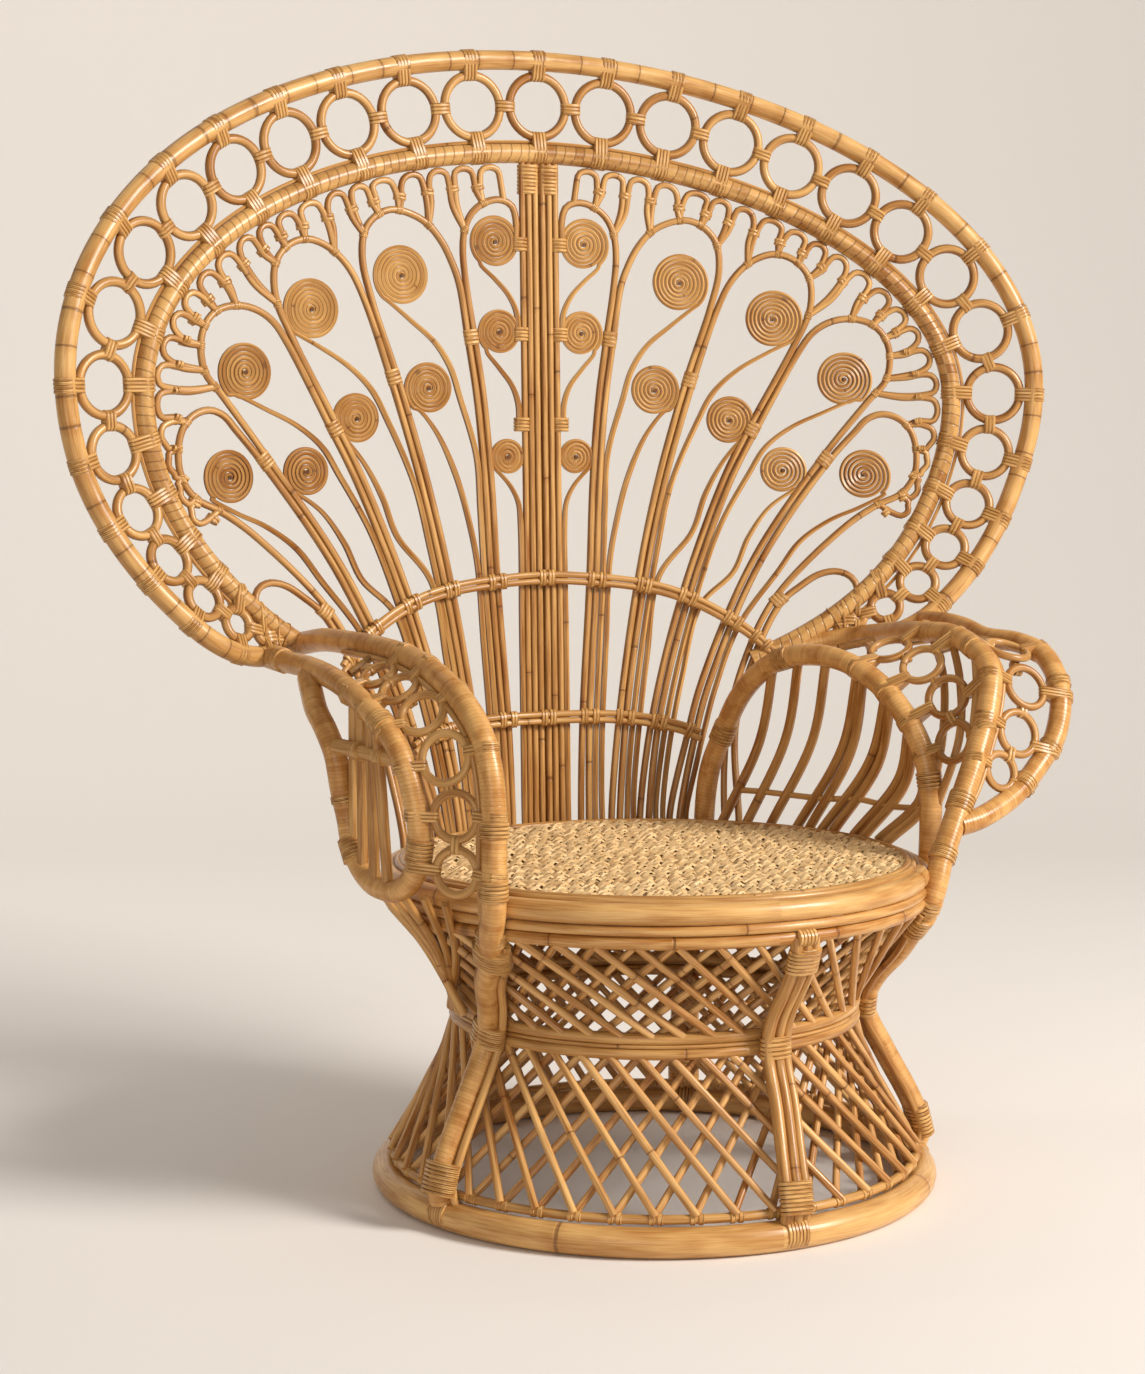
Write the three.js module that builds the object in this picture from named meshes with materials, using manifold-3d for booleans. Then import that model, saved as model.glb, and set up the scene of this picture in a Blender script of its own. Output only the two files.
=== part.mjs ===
// Rattan peacock chair: a waisted drum base, a round woven seat, two open arms and a wide fan back.
// Millimetres, +Z up. The chair faces -Y, and +X is on the right of someone who looks at its front.
// Every piece is a cane, a hoop or a chain of rings; the last lines set the origin on the floor.
import * as THREE from "three";
import { mergeVertices } from "three/addons/utils/BufferGeometryUtils.js";
import Module from "manifold-3d";

const wasm = await Module();
wasm.setup();

// Clear space that neighbouring canes keep.
const GAP = 0.4;

// Seat: two rim hoops, a bead and a woven panel on crossed bearers.
const SEAT_TOP = 390;
const SEAT_RISE = 2.3;
const RIM_RADIUS = 314;
const RIM_CANE = 12;
const LOWER_RIM_RADIUS = 318;
const LOWER_RIM_CANE = 5.2;
const BEAD_RADIUS = 301.2;
const BEAD_CANE = 3.6;
const BEAD_RISE = 0.5;
const PANEL_RADIUS = 297;
const PANEL_EDGE = SEAT_TOP - 4;
const PANEL_SLOPE = 12;
const STRAND_PITCH = 14.2;
const STRAND_SIDE = 0.3;
const STRAND_TOP = SEAT_TOP + 1;
const STRAND_GROOVE = SEAT_TOP - 6;
const BEARER_CANE = 5.2;
const BEARER_REACH = 309;

// Drum base: floor hoop, waist and the level that carries the seat.
const FLOOR_RADIUS = 321;
const FLOOR_HALF = 17;
const RAIL_RADIUS = 312;
const RAIL_CANE = 5.5;
const WAIST_RADIUS = 236;
const WAIST_HEIGHT = 206;
const WAIST_CANE = 6.5;
const SUPPORT_RADIUS = 315;
const SUPPORT_CANE = 7.5;
const RIM_STACK = 2 * RIM_CANE + GAP + 2 * LOWER_RIM_CANE + GAP;
const SUPPORT_HEIGHT = SEAT_TOP - SEAT_RISE - RIM_STACK - SUPPORT_CANE;
const LATTICE_CANES = 32;
const LATTICE_CANE = 2.5;
const LATTICE_LAYER = 5.6;
const LATTICE_PITCHES = 5;
const POST_CANE = 10.5;
const POST_TOP = SUPPORT_HEIGHT + 4;
const POST_FOOT = 14;
const POST_WAIST = 22;
const POST_SEAT = 26;

// Fan back: it leans back a little and is bowed, more so low down where it hugs the seat.
const FAN_BACK = 335.8;
const FAN_LEAN = 0.03;
const FAN_BOW = 0.355e-3;
const FAN_BOW_LOW = 1.15e-3;
const FAN_BOW_TOP = SEAT_TOP + 490;
// A fan hoop is two half ellipses, one from its foot up to its middle and one above; the outer one has
// an end that flattens towards the arm. The inner one lies inside it by the strip that the rings fill.
const OUTER_HOOP = { half: 653, foot: SEAT_TOP + 107, down: 460, up: 414, end: 131 };
const OUTER_END = [[-30.8, -18.2], [-64.8, -28.2], [-100.8, -30.2]];
const RING_STRIP = { side: 102, top: 118, bottom: 46 };
const INNER_DROP = 17;
const INNER_HOOP = {
  half: OUTER_HOOP.half - RING_STRIP.side,
  foot: OUTER_HOOP.foot + RING_STRIP.bottom,
  down: OUTER_HOOP.down - RING_STRIP.bottom - INNER_DROP,
  up: OUTER_HOOP.up - RING_STRIP.top + INNER_DROP,
  end: 140,
};
const FAN_FOOT = 1.755 * RIM_RADIUS;
const HOOP_CANE = 11.5;
const HOOP_EDGE = HOOP_CANE / Math.cos(Math.PI / 6);
const RING_CANE = 5;
const RING_SAG = 2.2;
const RING_SHIFT = 1.4;
const RING_STEPS = 8;
const RING_OVERLAP = 5;
const RING_LAST = 130;
const RIB_CANE = 4.2;
const RIB_SPREAD = RIB_CANE + GAP / 2;
const RIB_FOOT = SUPPORT_HEIGHT + SUPPORT_CANE;
const COLUMN_CANE = 7.6;
const COLUMN_CLEAR = 1.4;
const COLUMN_TOP = INNER_HOOP.foot + INNER_HOOP.down + INNER_HOOP.up - HOOP_EDGE - COLUMN_CLEAR;
const BUNDLE_PITCH = 1.9;
const BUNDLE_LEAN = 0.6;
const BAND_CANE = 4.5;
const BAND_OUT = COLUMN_CANE + GAP + BAND_CANE;
const SCROLL_WIDTH = 7.6;
const SCROLL_HEART = 5;
const SCROLL_PITCH = 9.3;
const SCROLL_STEPS = 8;
const SCROLL_EXIT = -50;
const TOUCH_STEPS = 5;
const TOUCH_SHIFT = 0.75 * SCROLL_WIDTH;
const SCALLOP_CANE = 1.7;
const SCALLOP_LOOPS = 18;
const SCALLOP_FIRST = 5.5;
const SCALLOP_LAST = 98;
const SCALLOP_LEG = 3.8;
const SCALLOP_REACH = 110;

// Arms.
const ARM_CANE = 13;
const ARM_EDGE = ARM_CANE / Math.cos(Math.PI / 6);
const ARM_LEAD = 14;
const OUTER_ARM_CANE = 12;
const OUTER_ARM_EDGE = OUTER_ARM_CANE / Math.cos(Math.PI / 6);
const SPOKE_CANE = 4.2;
const SPOKE_FOOT = 5;
const SPOKE_RISE = 2;
const SPOKE_BULGE = 18;
const ARM_RING = 29;

const degrees = THREE.MathUtils.degToRad;
const vector = (x, y, z) => new THREE.Vector3(x, y, z);
const X_AXIS = vector(1, 0, 0);
const Y_AXIS = vector(0, 1, 0);
const Z_AXIS = vector(0, 0, 1);

// A point of the drum at an angle from the front, counted towards +X.
function onDrum(radius, angle, z) {
  const a = degrees(angle);
  return vector(radius * Math.sin(a), -radius * Math.cos(a), z);
}

// A point of the fan's sheet, or in front of it by "out".
function onFan(x, z, out = 0) {
  const low = THREE.MathUtils.clamp((FAN_BOW_TOP - z) / (FAN_BOW_TOP - SEAT_TOP), 0, 1);
  const bow = FAN_BOW + FAN_BOW_LOW * low * low;
  return vector(x, FAN_BACK + FAN_LEAN * (z - SEAT_TOP) - bow * x * x - out, z);
}

// The [x, z] of a fan hoop at an angle from its top, or of a line inside it by "inset".
function hoopPoint(hoop, angle, inset = 0) {
  const a = degrees(angle);
  const rise = Math.cos(a) > 0 ? hoop.up : hoop.down;
  const normal = new THREE.Vector2(Math.sin(a) * rise, Math.cos(a) * hoop.half).normalize();
  return [
    hoop.half * Math.sin(a) - inset * normal.x,
    hoop.foot + hoop.down + rise * Math.cos(a) - inset * normal.y,
  ];
}

// A smooth line through points, cut into steps of one length.
function smooth(points, steps) {
  return new THREE.CatmullRomCurve3(points, false, "centripetal").getSpacedPoints(steps);
}

// The section of a cane, flat towards its side vector; "half" is from its middle to a flat.
function round(half, sides) {
  const corner = half / Math.cos(Math.PI / sides);
  return Array.from({ length: sides }, (_, k) => {
    const a = ((k + 0.5) / sides) * 2 * Math.PI;
    return new THREE.Vector2(corner * Math.cos(a), corner * Math.sin(a));
  });
}

// The section of canes laid side by side along the second axis and fused.
function bundle(radius, count) {
  const outline = [];
  for (const turn of [1, -1]) {
    for (let k = 0; k < count; k += 1) {
      const middle = turn * (k - (count - 1) / 2) * BUNDLE_PITCH * radius;
      for (const lean of [-BUNDLE_LEAN, 0, BUNDLE_LEAN]) {
        outline.push(
          new THREE.Vector2(turn * radius * Math.cos(lean), middle + turn * radius * Math.sin(lean)),
        );
      }
    }
  }
  return outline;
}

// A closed solid: a section carried along a line, with "side" as its first axis.
function sweep(section, path, side, closed = false) {
  const count = path.length;
  const positions = [];
  const index = [];
  path.forEach((point, i) => {
    const before = path[closed ? (i + count - 1) % count : Math.max(i - 1, 0)];
    const after = path[closed ? (i + 1) % count : Math.min(i + 1, count - 1)];
    const along = after.clone().sub(before).normalize();
    const first = (side.isVector3 ? side : side(point)).clone().projectOnPlane(along).normalize();
    const second = along.clone().cross(first);
    for (const corner of section) {
      const place = point.clone().addScaledVector(first, corner.x).addScaledVector(second, corner.y);
      positions.push(place.x, place.y, place.z);
    }
  });
  const sides = section.length;
  for (let i = 0; i < (closed ? count : count - 1); i += 1) {
    const here = i * sides;
    const next = ((i + 1) % count) * sides;
    for (let k = 0; k < sides; k += 1) {
      const l = (k + 1) % sides;
      index.push(here + k, here + l, next + l, here + k, next + l, next + k);
    }
  }
  if (!closed) {
    const last = (count - 1) * sides;
    for (const [a, b, c] of THREE.ShapeUtils.triangulateShape(section, [])) {
      index.push(c, b, a, last + a, last + b, last + c);
    }
  }
  const geometry = new THREE.BufferGeometry();
  geometry.setAttribute("position", new THREE.Float32BufferAttribute(positions, 3));
  return geometry.setIndex(index);
}

const cane = (path, radius, sides, side) => sweep(round(radius, sides), path, side);

// A level hoop around the chair's axis.
function hoop(radius, z, caneRadius, sides, steps) {
  const path = Array.from({ length: steps }, (_, k) => onDrum(radius, (360 * k) / steps, z));
  return sweep(round(caneRadius, sides), path, Z_AXIS, true);
}

// One body from pieces that run into each other.
function join(pieces) {
  const solids = pieces.map((piece) => {
    const merged = mergeVertices(piece, 1e-4);
    return new wasm.Manifold(
      new wasm.Mesh({
        numProp: 3,
        vertProperties: merged.getAttribute("position").array,
        triVerts: new Uint32Array(merged.index.array),
      }),
    );
  });
  const mesh = solids.reduce((whole, solid) => whole.add(solid)).getMesh();
  const geometry = new THREE.BufferGeometry();
  geometry.setAttribute("position", new THREE.BufferAttribute(mesh.vertProperties, 3));
  return geometry.setIndex(new THREE.BufferAttribute(mesh.triVerts, 1));
}

// A ring of cane with the given outer radius, in the plane of two directions.
function ring(centre, across, along, outer) {
  const first = across.clone().normalize();
  const second = along.clone().projectOnPlane(first).normalize();
  const normal = first.clone().cross(second);
  const path = Array.from({ length: RING_STEPS }, (_, k) => {
    const a = (k / RING_STEPS) * 2 * Math.PI;
    return centre
      .clone()
      .addScaledVector(first, (outer - RING_CANE) * Math.cos(a))
      .addScaledVector(second, (outer - RING_CANE) * Math.sin(a));
  });
  return sweep(round(RING_CANE, 4), path, normal, true);
}

// Rings set one against the next along a strip; "strip" gives the two edges at a place from 0 to 1.
// They lie nearer to the second edge by "shift".
function ringChain(strip, margin, largest, shift, start) {
  const at = (u) => {
    const [a, b] = strip(u);
    const across = b.clone().sub(a);
    const centre = a.clone().add(b).multiplyScalar(0.5);
    centre.addScaledVector(across.clone().normalize(), shift);
    return { centre, across, outer: Math.min(across.length() / 2 - margin, largest) };
  };
  const rings = [];
  const probe = 0.0005;
  let last = null;
  for (let u = start; u <= 1; u += probe) {
    const here = at(u);
    const clear = last ? here.outer + last.outer - RING_OVERLAP : 0;
    if (!last || here.centre.distanceTo(last.centre) >= clear) {
      const ahead = at(Math.min(u + probe, 1)).centre;
      const behind = at(Math.max(u - probe, 0)).centre;
      rings.push(ring(here.centre, here.across, ahead.sub(behind), here.outer));
      last = here;
    }
  }
  return rings;
}

const chair = new THREE.Group();
const rightSide = new THREE.Group();
const leftSide = new THREE.Group();
leftSide.scale.x = -1;
chair.add(rightSide, leftSide);

const RATTAN = { color: 0xc99b5e, roughness: 0.55 };
const WRAPPED = { color: 0xd2a566, roughness: 0.5 };
const DARK_CANE = { color: 0xb98549, roughness: 0.6 };
const STRAW = { color: 0xdfbd87, roughness: 0.75 };

function place(name, geometry, look, group = chair) {
  const material = new THREE.MeshStandardMaterial({ ...look, metalness: 0 });
  const mesh = new THREE.Mesh(geometry, material);
  mesh.name = name;
  group.add(mesh);
}

// The same piece on both sides of the fan, mirrored across the middle.
function placePair(name, geometry, look) {
  place(`right_${name}`, geometry, look, rightSide);
  place(`left_${name}`, geometry, look, leftSide);
}

// Drum base. The floor hoop is flat underneath, where the chair stands.
const railHeight = 2 * FLOOR_HALF + GAP + RAIL_CANE;
const upperWaist = WAIST_HEIGHT + 2 * WAIST_CANE + GAP;
place("floor_hoop", hoop(FLOOR_RADIUS, FLOOR_HALF, FLOOR_HALF, 6, 36), RATTAN);
place("foot_rail", hoop(RAIL_RADIUS, railHeight, RAIL_CANE, 4, 32), RATTAN);
place("waist_hoop_lower", hoop(WAIST_RADIUS, WAIST_HEIGHT, WAIST_CANE, 4, 28), RATTAN);
place("waist_hoop_upper", hoop(WAIST_RADIUS, upperWaist, WAIST_CANE, 4, 28), RATTAN);
place("seat_support_hoop", hoop(SUPPORT_RADIUS, SUPPORT_HEIGHT, SUPPORT_CANE, 4, 36), RATTAN);

// A lattice is one cane that runs up the outside and down the inside, V after V, until it closes.
function lattice(lowRadius, lowZ, highRadius, highZ) {
  const path = [];
  const lean = (LATTICE_PITCHES * 180) / LATTICE_CANES;
  for (let k = 0; k < LATTICE_CANES; k += 1) {
    const foot = 2 * k * lean;
    path.push(onDrum(lowRadius - LATTICE_LAYER, foot, lowZ));
    path.push(onDrum(lowRadius + LATTICE_LAYER, foot, lowZ));
    path.push(onDrum(highRadius + LATTICE_LAYER, foot + lean, highZ));
    path.push(onDrum(highRadius - LATTICE_LAYER, foot + lean, highZ));
  }
  const outward = (point) => vector(point.y, -point.x, 0);
  const geometry = sweep(round(LATTICE_CANE, 3), path, outward, true);
  geometry.computeBoundingBox();
  const { min, max } = geometry.boundingBox;
  const stretch = (highZ - lowZ) / (max.z - min.z);
  return geometry.translate(0, 0, -min.z).scale(1, 1, stretch).translate(0, 0, lowZ);
}
const railTop = railHeight + RAIL_CANE + GAP;
const waistUnder = WAIST_HEIGHT - WAIST_CANE - GAP;
const waistTop = upperWaist + WAIST_CANE + GAP;
const supportUnder = SUPPORT_HEIGHT - SUPPORT_CANE - GAP;
place("lower_lattice", lattice(RAIL_RADIUS, railTop, WAIST_RADIUS - 1, waistUnder), DARK_CANE);
place("upper_lattice", lattice(WAIST_RADIUS - 1, waistTop, SUPPORT_RADIUS - 3, supportUnder), DARK_CANE);

// Posts stand on the floor hoop, keep clear of the lattice and end level under the seat's rim.
// Each point has a radius, a height, and how far the post has turned towards its place at the seat.
const { lerp } = THREE.MathUtils;
function besideLower(share, clear) {
  return [lerp(RAIL_RADIUS, WAIST_RADIUS, share) + clear, lerp(railTop, waistUnder, share)];
}
function besideUpper(share, clear) {
  return [lerp(WAIST_RADIUS, SUPPORT_RADIUS, share) + clear, lerp(waistTop, supportUnder, share)];
}
const POST_LINE = [
  [FLOOR_RADIUS + POST_FOOT, 2 * FLOOR_HALF + GAP, 0],
  [FLOOR_RADIUS + POST_FOOT, 3 * FLOOR_HALF, 0],
  [...besideLower(0.26, POST_SEAT), 0.1],
  [...besideLower(0.68, POST_WAIST), 0.7],
  [WAIST_RADIUS + POST_WAIST, waistUnder - GAP, 1],
  [WAIST_RADIUS + POST_WAIST, waistTop - GAP, 1.1],
  [...besideUpper(0.34, POST_WAIST), 1.35],
  [...besideUpper(0.8, POST_WAIST), 1.8],
  [SUPPORT_RADIUS + POST_SEAT, supportUnder - GAP, 2],
  [SUPPORT_RADIUS + POST_SEAT, POST_TOP, 2],
];
function post(floor, waist, seat) {
  const path = POST_LINE.map(([radius, z, stage]) => {
    const low = lerp(floor, waist, Math.min(stage, 1));
    return onDrum(radius, lerp(low, seat, Math.max(stage - 1, 0)), z);
  });
  const a = degrees(waist);
  return cane(path, POST_CANE, 6, vector(Math.cos(a), Math.sin(a), 0));
}
place("front_post", post(5, 7, 6), WRAPPED);
place("right_post", post(76, 73, 56), WRAPPED);
place("left_post", post(-74, -73, -55.6), WRAPPED);
place("back_right_post", post(148, 146, 144), WRAPPED);
place("back_left_post", post(-148, -146, -144), WRAPPED);

// Seat.
const lowerRimHeight = SUPPORT_HEIGHT + SUPPORT_CANE + GAP + LOWER_RIM_CANE;
const bearerHeight = SUPPORT_HEIGHT + SUPPORT_CANE + GAP + BEARER_CANE;
const panelUnder = bearerHeight + BEARER_CANE + GAP;
place("seat_rim_lower", hoop(LOWER_RIM_RADIUS, lowerRimHeight, LOWER_RIM_CANE, 4, 36), RATTAN);
const rimHeight = lowerRimHeight + LOWER_RIM_CANE + GAP + RIM_CANE;
place("seat_rim_upper", hoop(RIM_RADIUS, rimHeight, RIM_CANE, 6, 36), RATTAN);
place("seat_bead", hoop(BEAD_RADIUS, SEAT_TOP + BEAD_RISE, BEAD_CANE, 4, 32), RATTAN);
const bearers = [45, 135].map((angle) =>
  cane(
    [onDrum(BEARER_REACH, angle, bearerHeight), onDrum(BEARER_REACH, angle + 180, bearerHeight)],
    BEARER_CANE,
    6,
    Z_AXIS,
  ),
);
place("seat_bearers", join(bearers), DARK_CANE);
// Woven strands lie side by side across the seat, with grooves between them, and sink towards the edge.
function strandTop(x, y) {
  const fromEdge = PANEL_RADIUS - Math.hypot(x, y);
  return THREE.MathUtils.mapLinear(Math.min(fromEdge, PANEL_SLOPE), 0, PANEL_SLOPE, PANEL_EDGE, STRAND_TOP);
}
function strandLine(y, groove) {
  const end = Math.sqrt(PANEL_RADIUS ** 2 - y * y);
  const flat = Math.sqrt(Math.max((PANEL_RADIUS - PANEL_SLOPE) ** 2 - y * y, (end * end) / 4));
  return [-end, -flat, flat, end].map((x) => vector(x, y, groove ? STRAND_GROOVE : strandTop(x, y)));
}
function wovenPanel() {
  const count = Math.round((2 * PANEL_RADIUS) / STRAND_PITCH) - 1;
  const lines = [];
  for (let k = 0; k <= count; k += 1) {
    const y = (k - count / 2) * STRAND_PITCH;
    lines.push(strandLine(y, true));
    if (k < count) {
      lines.push(strandLine(y + STRAND_PITCH * STRAND_SIDE, false));
      lines.push(strandLine(y + STRAND_PITCH * (1 - STRAND_SIDE), false));
    }
  }
  const under = lines.map((line) => [line[0], line[3]].map(({ x, y }) => vector(x, y, panelUnder)));
  const rows = lines.map((line, i) => [...line, under[i][1], under[i][0]]);
  const sides = rows[0].length;
  const index = [];
  const quad = (a, b, c, d) => index.push(a, b, c, a, c, d);
  rows.slice(1).forEach((_, i) => {
    for (let k = 0; k < sides; k += 1) {
      const next = (k + 1) % sides;
      quad(i * sides + k, i * sides + next, (i + 1) * sides + next, (i + 1) * sides + k);
    }
  });
  const last = (rows.length - 1) * sides;
  for (let k = 1; k < sides - 1; k += 1) {
    index.push(0, k + 1, k, last, last + k, last + k + 1);
  }
  const geometry = new THREE.BufferGeometry().setFromPoints(rows.flat());
  return geometry.setIndex(index);
}
place("woven_seat", wovenPanel(), STRAW);

// Fan hoops and the chain of rings between them.
function hoopHalf(shape, end, steps) {
  const half = [];
  for (let k = 0; k <= steps; k += 1) {
    half.push(hoopPoint(shape, (shape.end * k) / steps));
  }
  const [endX, endZ] = half[steps];
  half.push(...end.map(([x, z]) => [endX + x, endZ + z]));
  return half.map(([x, z]) => onFan(x, z));
}
function fanHoop(half) {
  const mirrored = half.slice(1).reverse().map(({ x, y, z }) => vector(-x, y, z));
  return cane([...mirrored, ...half], HOOP_CANE, 6, Y_AXIS);
}
const outerHalf = hoopHalf(OUTER_HOOP, OUTER_END, 20);
const innerHalf = hoopHalf(INNER_HOOP, [], 19);
place("fan_outer_hoop", fanHoop(outerHalf), WRAPPED);
place("fan_inner_hoop", fanHoop(innerHalf), WRAPPED);
const outerLine = Array.from({ length: 400 }, (_, k) =>
  onFan(...hoopPoint(OUTER_HOOP, (OUTER_HOOP.end * k) / 399)),
);
function betweenHoops(u) {
  const inner = onFan(...hoopPoint(INNER_HOOP, RING_LAST * u));
  const nearer = (a, b) => (a.distanceTo(inner) < b.distanceTo(inner) ? a : b);
  return [inner, outerLine.reduce(nearer)];
}
const rightRings = ringChain(betweenHoops, HOOP_EDGE + GAP + RING_SAG, Infinity, RING_SHIFT, 0);
const leftRings = rightRings.slice(1).map((right) => {
  const left = right.clone().scale(-1, 1, 1);
  return left.setIndex(Array.from(right.index.array).reverse());
});
place("fan_rings", join([...rightRings, ...leftRings]), RATTAN);

// Centre column of four canes, from the seat to the inner hoop.
const columnHalf = COLUMN_CANE * (1.5 * BUNDLE_PITCH + Math.sin(BUNDLE_LEAN));
const columnPath = [onFan(0, RIB_FOOT), onFan(0, COLUMN_TOP)];
place("centre_column", sweep(bundle(COLUMN_CANE, 4), columnPath, Y_AXIS), RATTAN);

// The fan's ornament is drawn as [x, z] in thousandths of the inner hoop: x from the centre column's
// side out to the hoop's half width, z of its rise above its middle or, down to -1000, of its drop
// below. From there to -2000 z runs on to the seat, where x counts in the width that the feet share.
function drawnHeight(z) {
  const { foot, up, down } = INNER_HOOP;
  if (z > -1000) {
    return foot + down + (z / 1000) * (z > 0 ? up : down);
  }
  return THREE.MathUtils.mapLinear(z, -1000, -2000, foot, SEAT_TOP);
}
function drawn([x, z, seated]) {
  const low = THREE.MathUtils.clamp(-z / 1000 - 1, 0, 1);
  const half = THREE.MathUtils.lerp(INNER_HOOP.half, FAN_FOOT, low);
  return [THREE.MathUtils.lerp(columnHalf, half, x / 1000), drawnHeight(z), seated];
}

// Rib bundles from the crown of the arches down to the seat, counted from the middle.
// A point marked SEATED stands against the seat's rim instead of in the fan's sheet.
const SEATED = true;
const RIBS = [
  [[156, 463], [135, 246], [112, -5], [95, -264], [82, -612], [59, -1150], [51, -2000, SEATED]],
  [[408, 377], [345, 80], [269, -267], [208, -615], [152, -1157], [128, -2000, SEATED]],
  [[621, 220], [505, -101], [439, -270], [318, -668], [234, -1163], [196, -2000, SEATED]],
  [[808, -8], [689, -202], [507, -537], [362, -932], [315, -1340], [264, -2000, SEATED]],
  [[819, -363], [736, -436], [551, -670], [469, -861], [411, -1229], [385, -2000, SEATED]],
]
  .map((line) => line.map(drawn))
  .map((line) => [...line, [line[line.length - 1][0], RIB_FOOT, SEATED]]);
// Crowns of the hairpin arches, from the inner leg to the outer leg.
const CROWNS = [
  [[9, 722], [23, 786], [56, 808], [95, 792], [130, 748], [149, 681], [154, 597]],
  [[185, 550], [210, 626], [248, 696], [294, 735], [343, 748], [385, 719], [415, 658], [423, 543]],
  [[449, 486], [482, 550], [521, 594], [563, 613], [602, 601], [635, 562], [656, 498], [654, 377]],
  [[659, 281], [696, 323], [736, 342], [778, 339], [811, 316], [838, 268], [851, 192], [842, 83]],
  [[768, -103], [794, -65], [830, -48], [869, -60], [899, -98], [914, -161], [909, -252], [874, -315]],
  [[605, -625], [656, -584], [697, -574], [724, -589], [729, -620]],
].map((line) => line.map(drawn));
// The first arch starts against the centre column.
CROWNS[0][0][0] = columnHalf + GAP + RIB_CANE;

// A rib line moved sideways in the fan's sheet, for one of the two legs that share it.
function legOf(line, shift) {
  return line.map(([x, z, seated], i) => {
    const [x0, z0] = line[Math.max(i - 1, 0)];
    const [x1, z1] = line[Math.min(i + 1, line.length - 1)];
    const normal = new THREE.Vector2(z0 - z1, x1 - x0).normalize();
    return [x + shift * normal.x, z + shift * normal.y, seated];
  });
}

// A point of a rib. One that is seated lies just outside the seat's rim.
const rimReach = RIM_RADIUS + RIM_CANE / Math.cos(Math.PI / 6);
function ribPoint([x, z, seated]) {
  const sheet = onFan(x, z);
  if (!seated) {
    return sheet;
  }
  const turn = Math.atan2(x, sheet.y);
  const reach = rimReach + GAP + RIB_CANE * (Math.sin(turn) + Math.cos(turn));
  return vector(x, Math.sqrt(reach * reach - x * x), z);
}
const archLines = CROWNS.map((crown, i) => {
  const below = ([, z]) => z < crown[0][1] - 2 * RIB_SPREAD;
  const inner = i > 0 ? legOf(RIBS[i - 1], RIB_SPREAD).filter(below).reverse() : [];
  const outer = i < RIBS.length ? legOf(RIBS[i], -RIB_SPREAD) : [];
  return [...inner, ...crown, ...outer];
});
const archPaths = archLines.map((line) => line.map(ribPoint));
archPaths.forEach((path, i) => {
  placePair(`arch_${i + 1}`, cane(path, RIB_CANE, 4, Y_AXIS), RATTAN);
});

// Scrolls of each bay: centre, outer radius in thousandths of the half width, and the line of its tail.
// TOUCH stands for the place where a tail runs against the next scroll of its bay, and a height
// alone for the place where it meets the rib, or in the first bay the centre column.
const TOUCH = null;
const BAYS = [
  [
    { centre: [77, 633], radius: 60, tail: [[95, 514], [65, 460], [38, 403], TOUCH] },
    { centre: [63, 268], radius: 48, tail: [[72, 169], [38, 89], [19, -13], [16, -101], TOUCH] },
    { centre: [43, -191], radius: 34, tail: [[46, -257], [23, -315], -390] },
  ],
  [
    { centre: [320, 486], radius: 69, tail: [[324, 358], [259, 268], [213, 160], TOUCH, [166, -71], -202] },
    { centre: [252, 35], radius: 60, tail: [[263, -65], [221, -131], [177, -252], [143, -398], -542] },
  ],
  [
    { centre: [560, 339], radius: 69, tail: [[556, 214], [481, 141], [411, 51], TOUCH, [343, -151], -282] },
    { centre: [427, -65], radius: 56, tail: [[434, -151], [400, -214], [362, -322], [326, -448], -592] },
  ],
  [
    { centre: [733, 86], radius: 64, tail: [[724, -23], [636, -73], [560, -131], TOUCH, [481, -322], -428] },
    { centre: [563, -232], radius: 56, tail: [[563, -320], [518, -378], [476, -474], [436, -592], -705] },
  ],
  [
    { centre: [785, -247], radius: 62, tail: [[781, -340], [708, -388], [621, -469], [549, -589], -730] },
  ],
].map((bay) =>
  bay.map(({ centre, radius, tail }) => ({
    centre: drawn(centre),
    radius: (radius / 1000) * INNER_HOOP.half,
    tail: tail.map((stop) => {
      if (stop === TOUCH) {
        return TOUCH;
      }
      return Array.isArray(stop) ? drawn(stop) : drawnHeight(stop);
    }),
  })),
);

// The flat [x, z] spiral of a scroll, from its heart out to its exit.
function spiralOf({ centre, radius }) {
  const reach = radius - SCROLL_WIDTH / 2;
  const turns = Math.max(Math.floor((2 * (reach - SCROLL_HEART)) / SCROLL_PITCH), 2) / 2;
  const steps = turns * SCROLL_STEPS;
  return Array.from({ length: steps + 1 }, (_, k) => {
    const a = degrees(SCROLL_EXIT + (360 * (steps - k)) / SCROLL_STEPS);
    const r = SCROLL_HEART + ((reach - SCROLL_HEART) * k) / steps;
    return [centre[0] + r * Math.cos(a), centre[1] + r * Math.sin(a)];
  });
}

// Where a tail lies against a scroll: beside its outer turn, on the side away from the exit.
function touchOf(scroll) {
  const spiral = spiralOf(scroll);
  const [x, z] = spiral[spiral.length - 1 - TOUCH_STEPS];
  const away = new THREE.Vector2(x - scroll.centre[0], z - scroll.centre[1]).normalize();
  return [x + TOUCH_SHIFT * away.x, z + TOUCH_SHIFT * away.y];
}

// Where a tail ends against the rib on the inner side of its bay, at a height.
function besideRib(bay, z) {
  if (bay === 0) {
    return [columnHalf + GAP + SCROLL_WIDTH / 2, z];
  }
  const line = legOf(RIBS[bay - 1], RIB_SPREAD + RIB_CANE + GAP + SCROLL_WIDTH / 2);
  const k = line.findIndex((stop) => stop[1] < z);
  const [x0, z0] = line[k - 1];
  const [x1, z1] = line[k];
  return [THREE.MathUtils.mapLinear(z, z0, z1, x0, x1), z];
}

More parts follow.
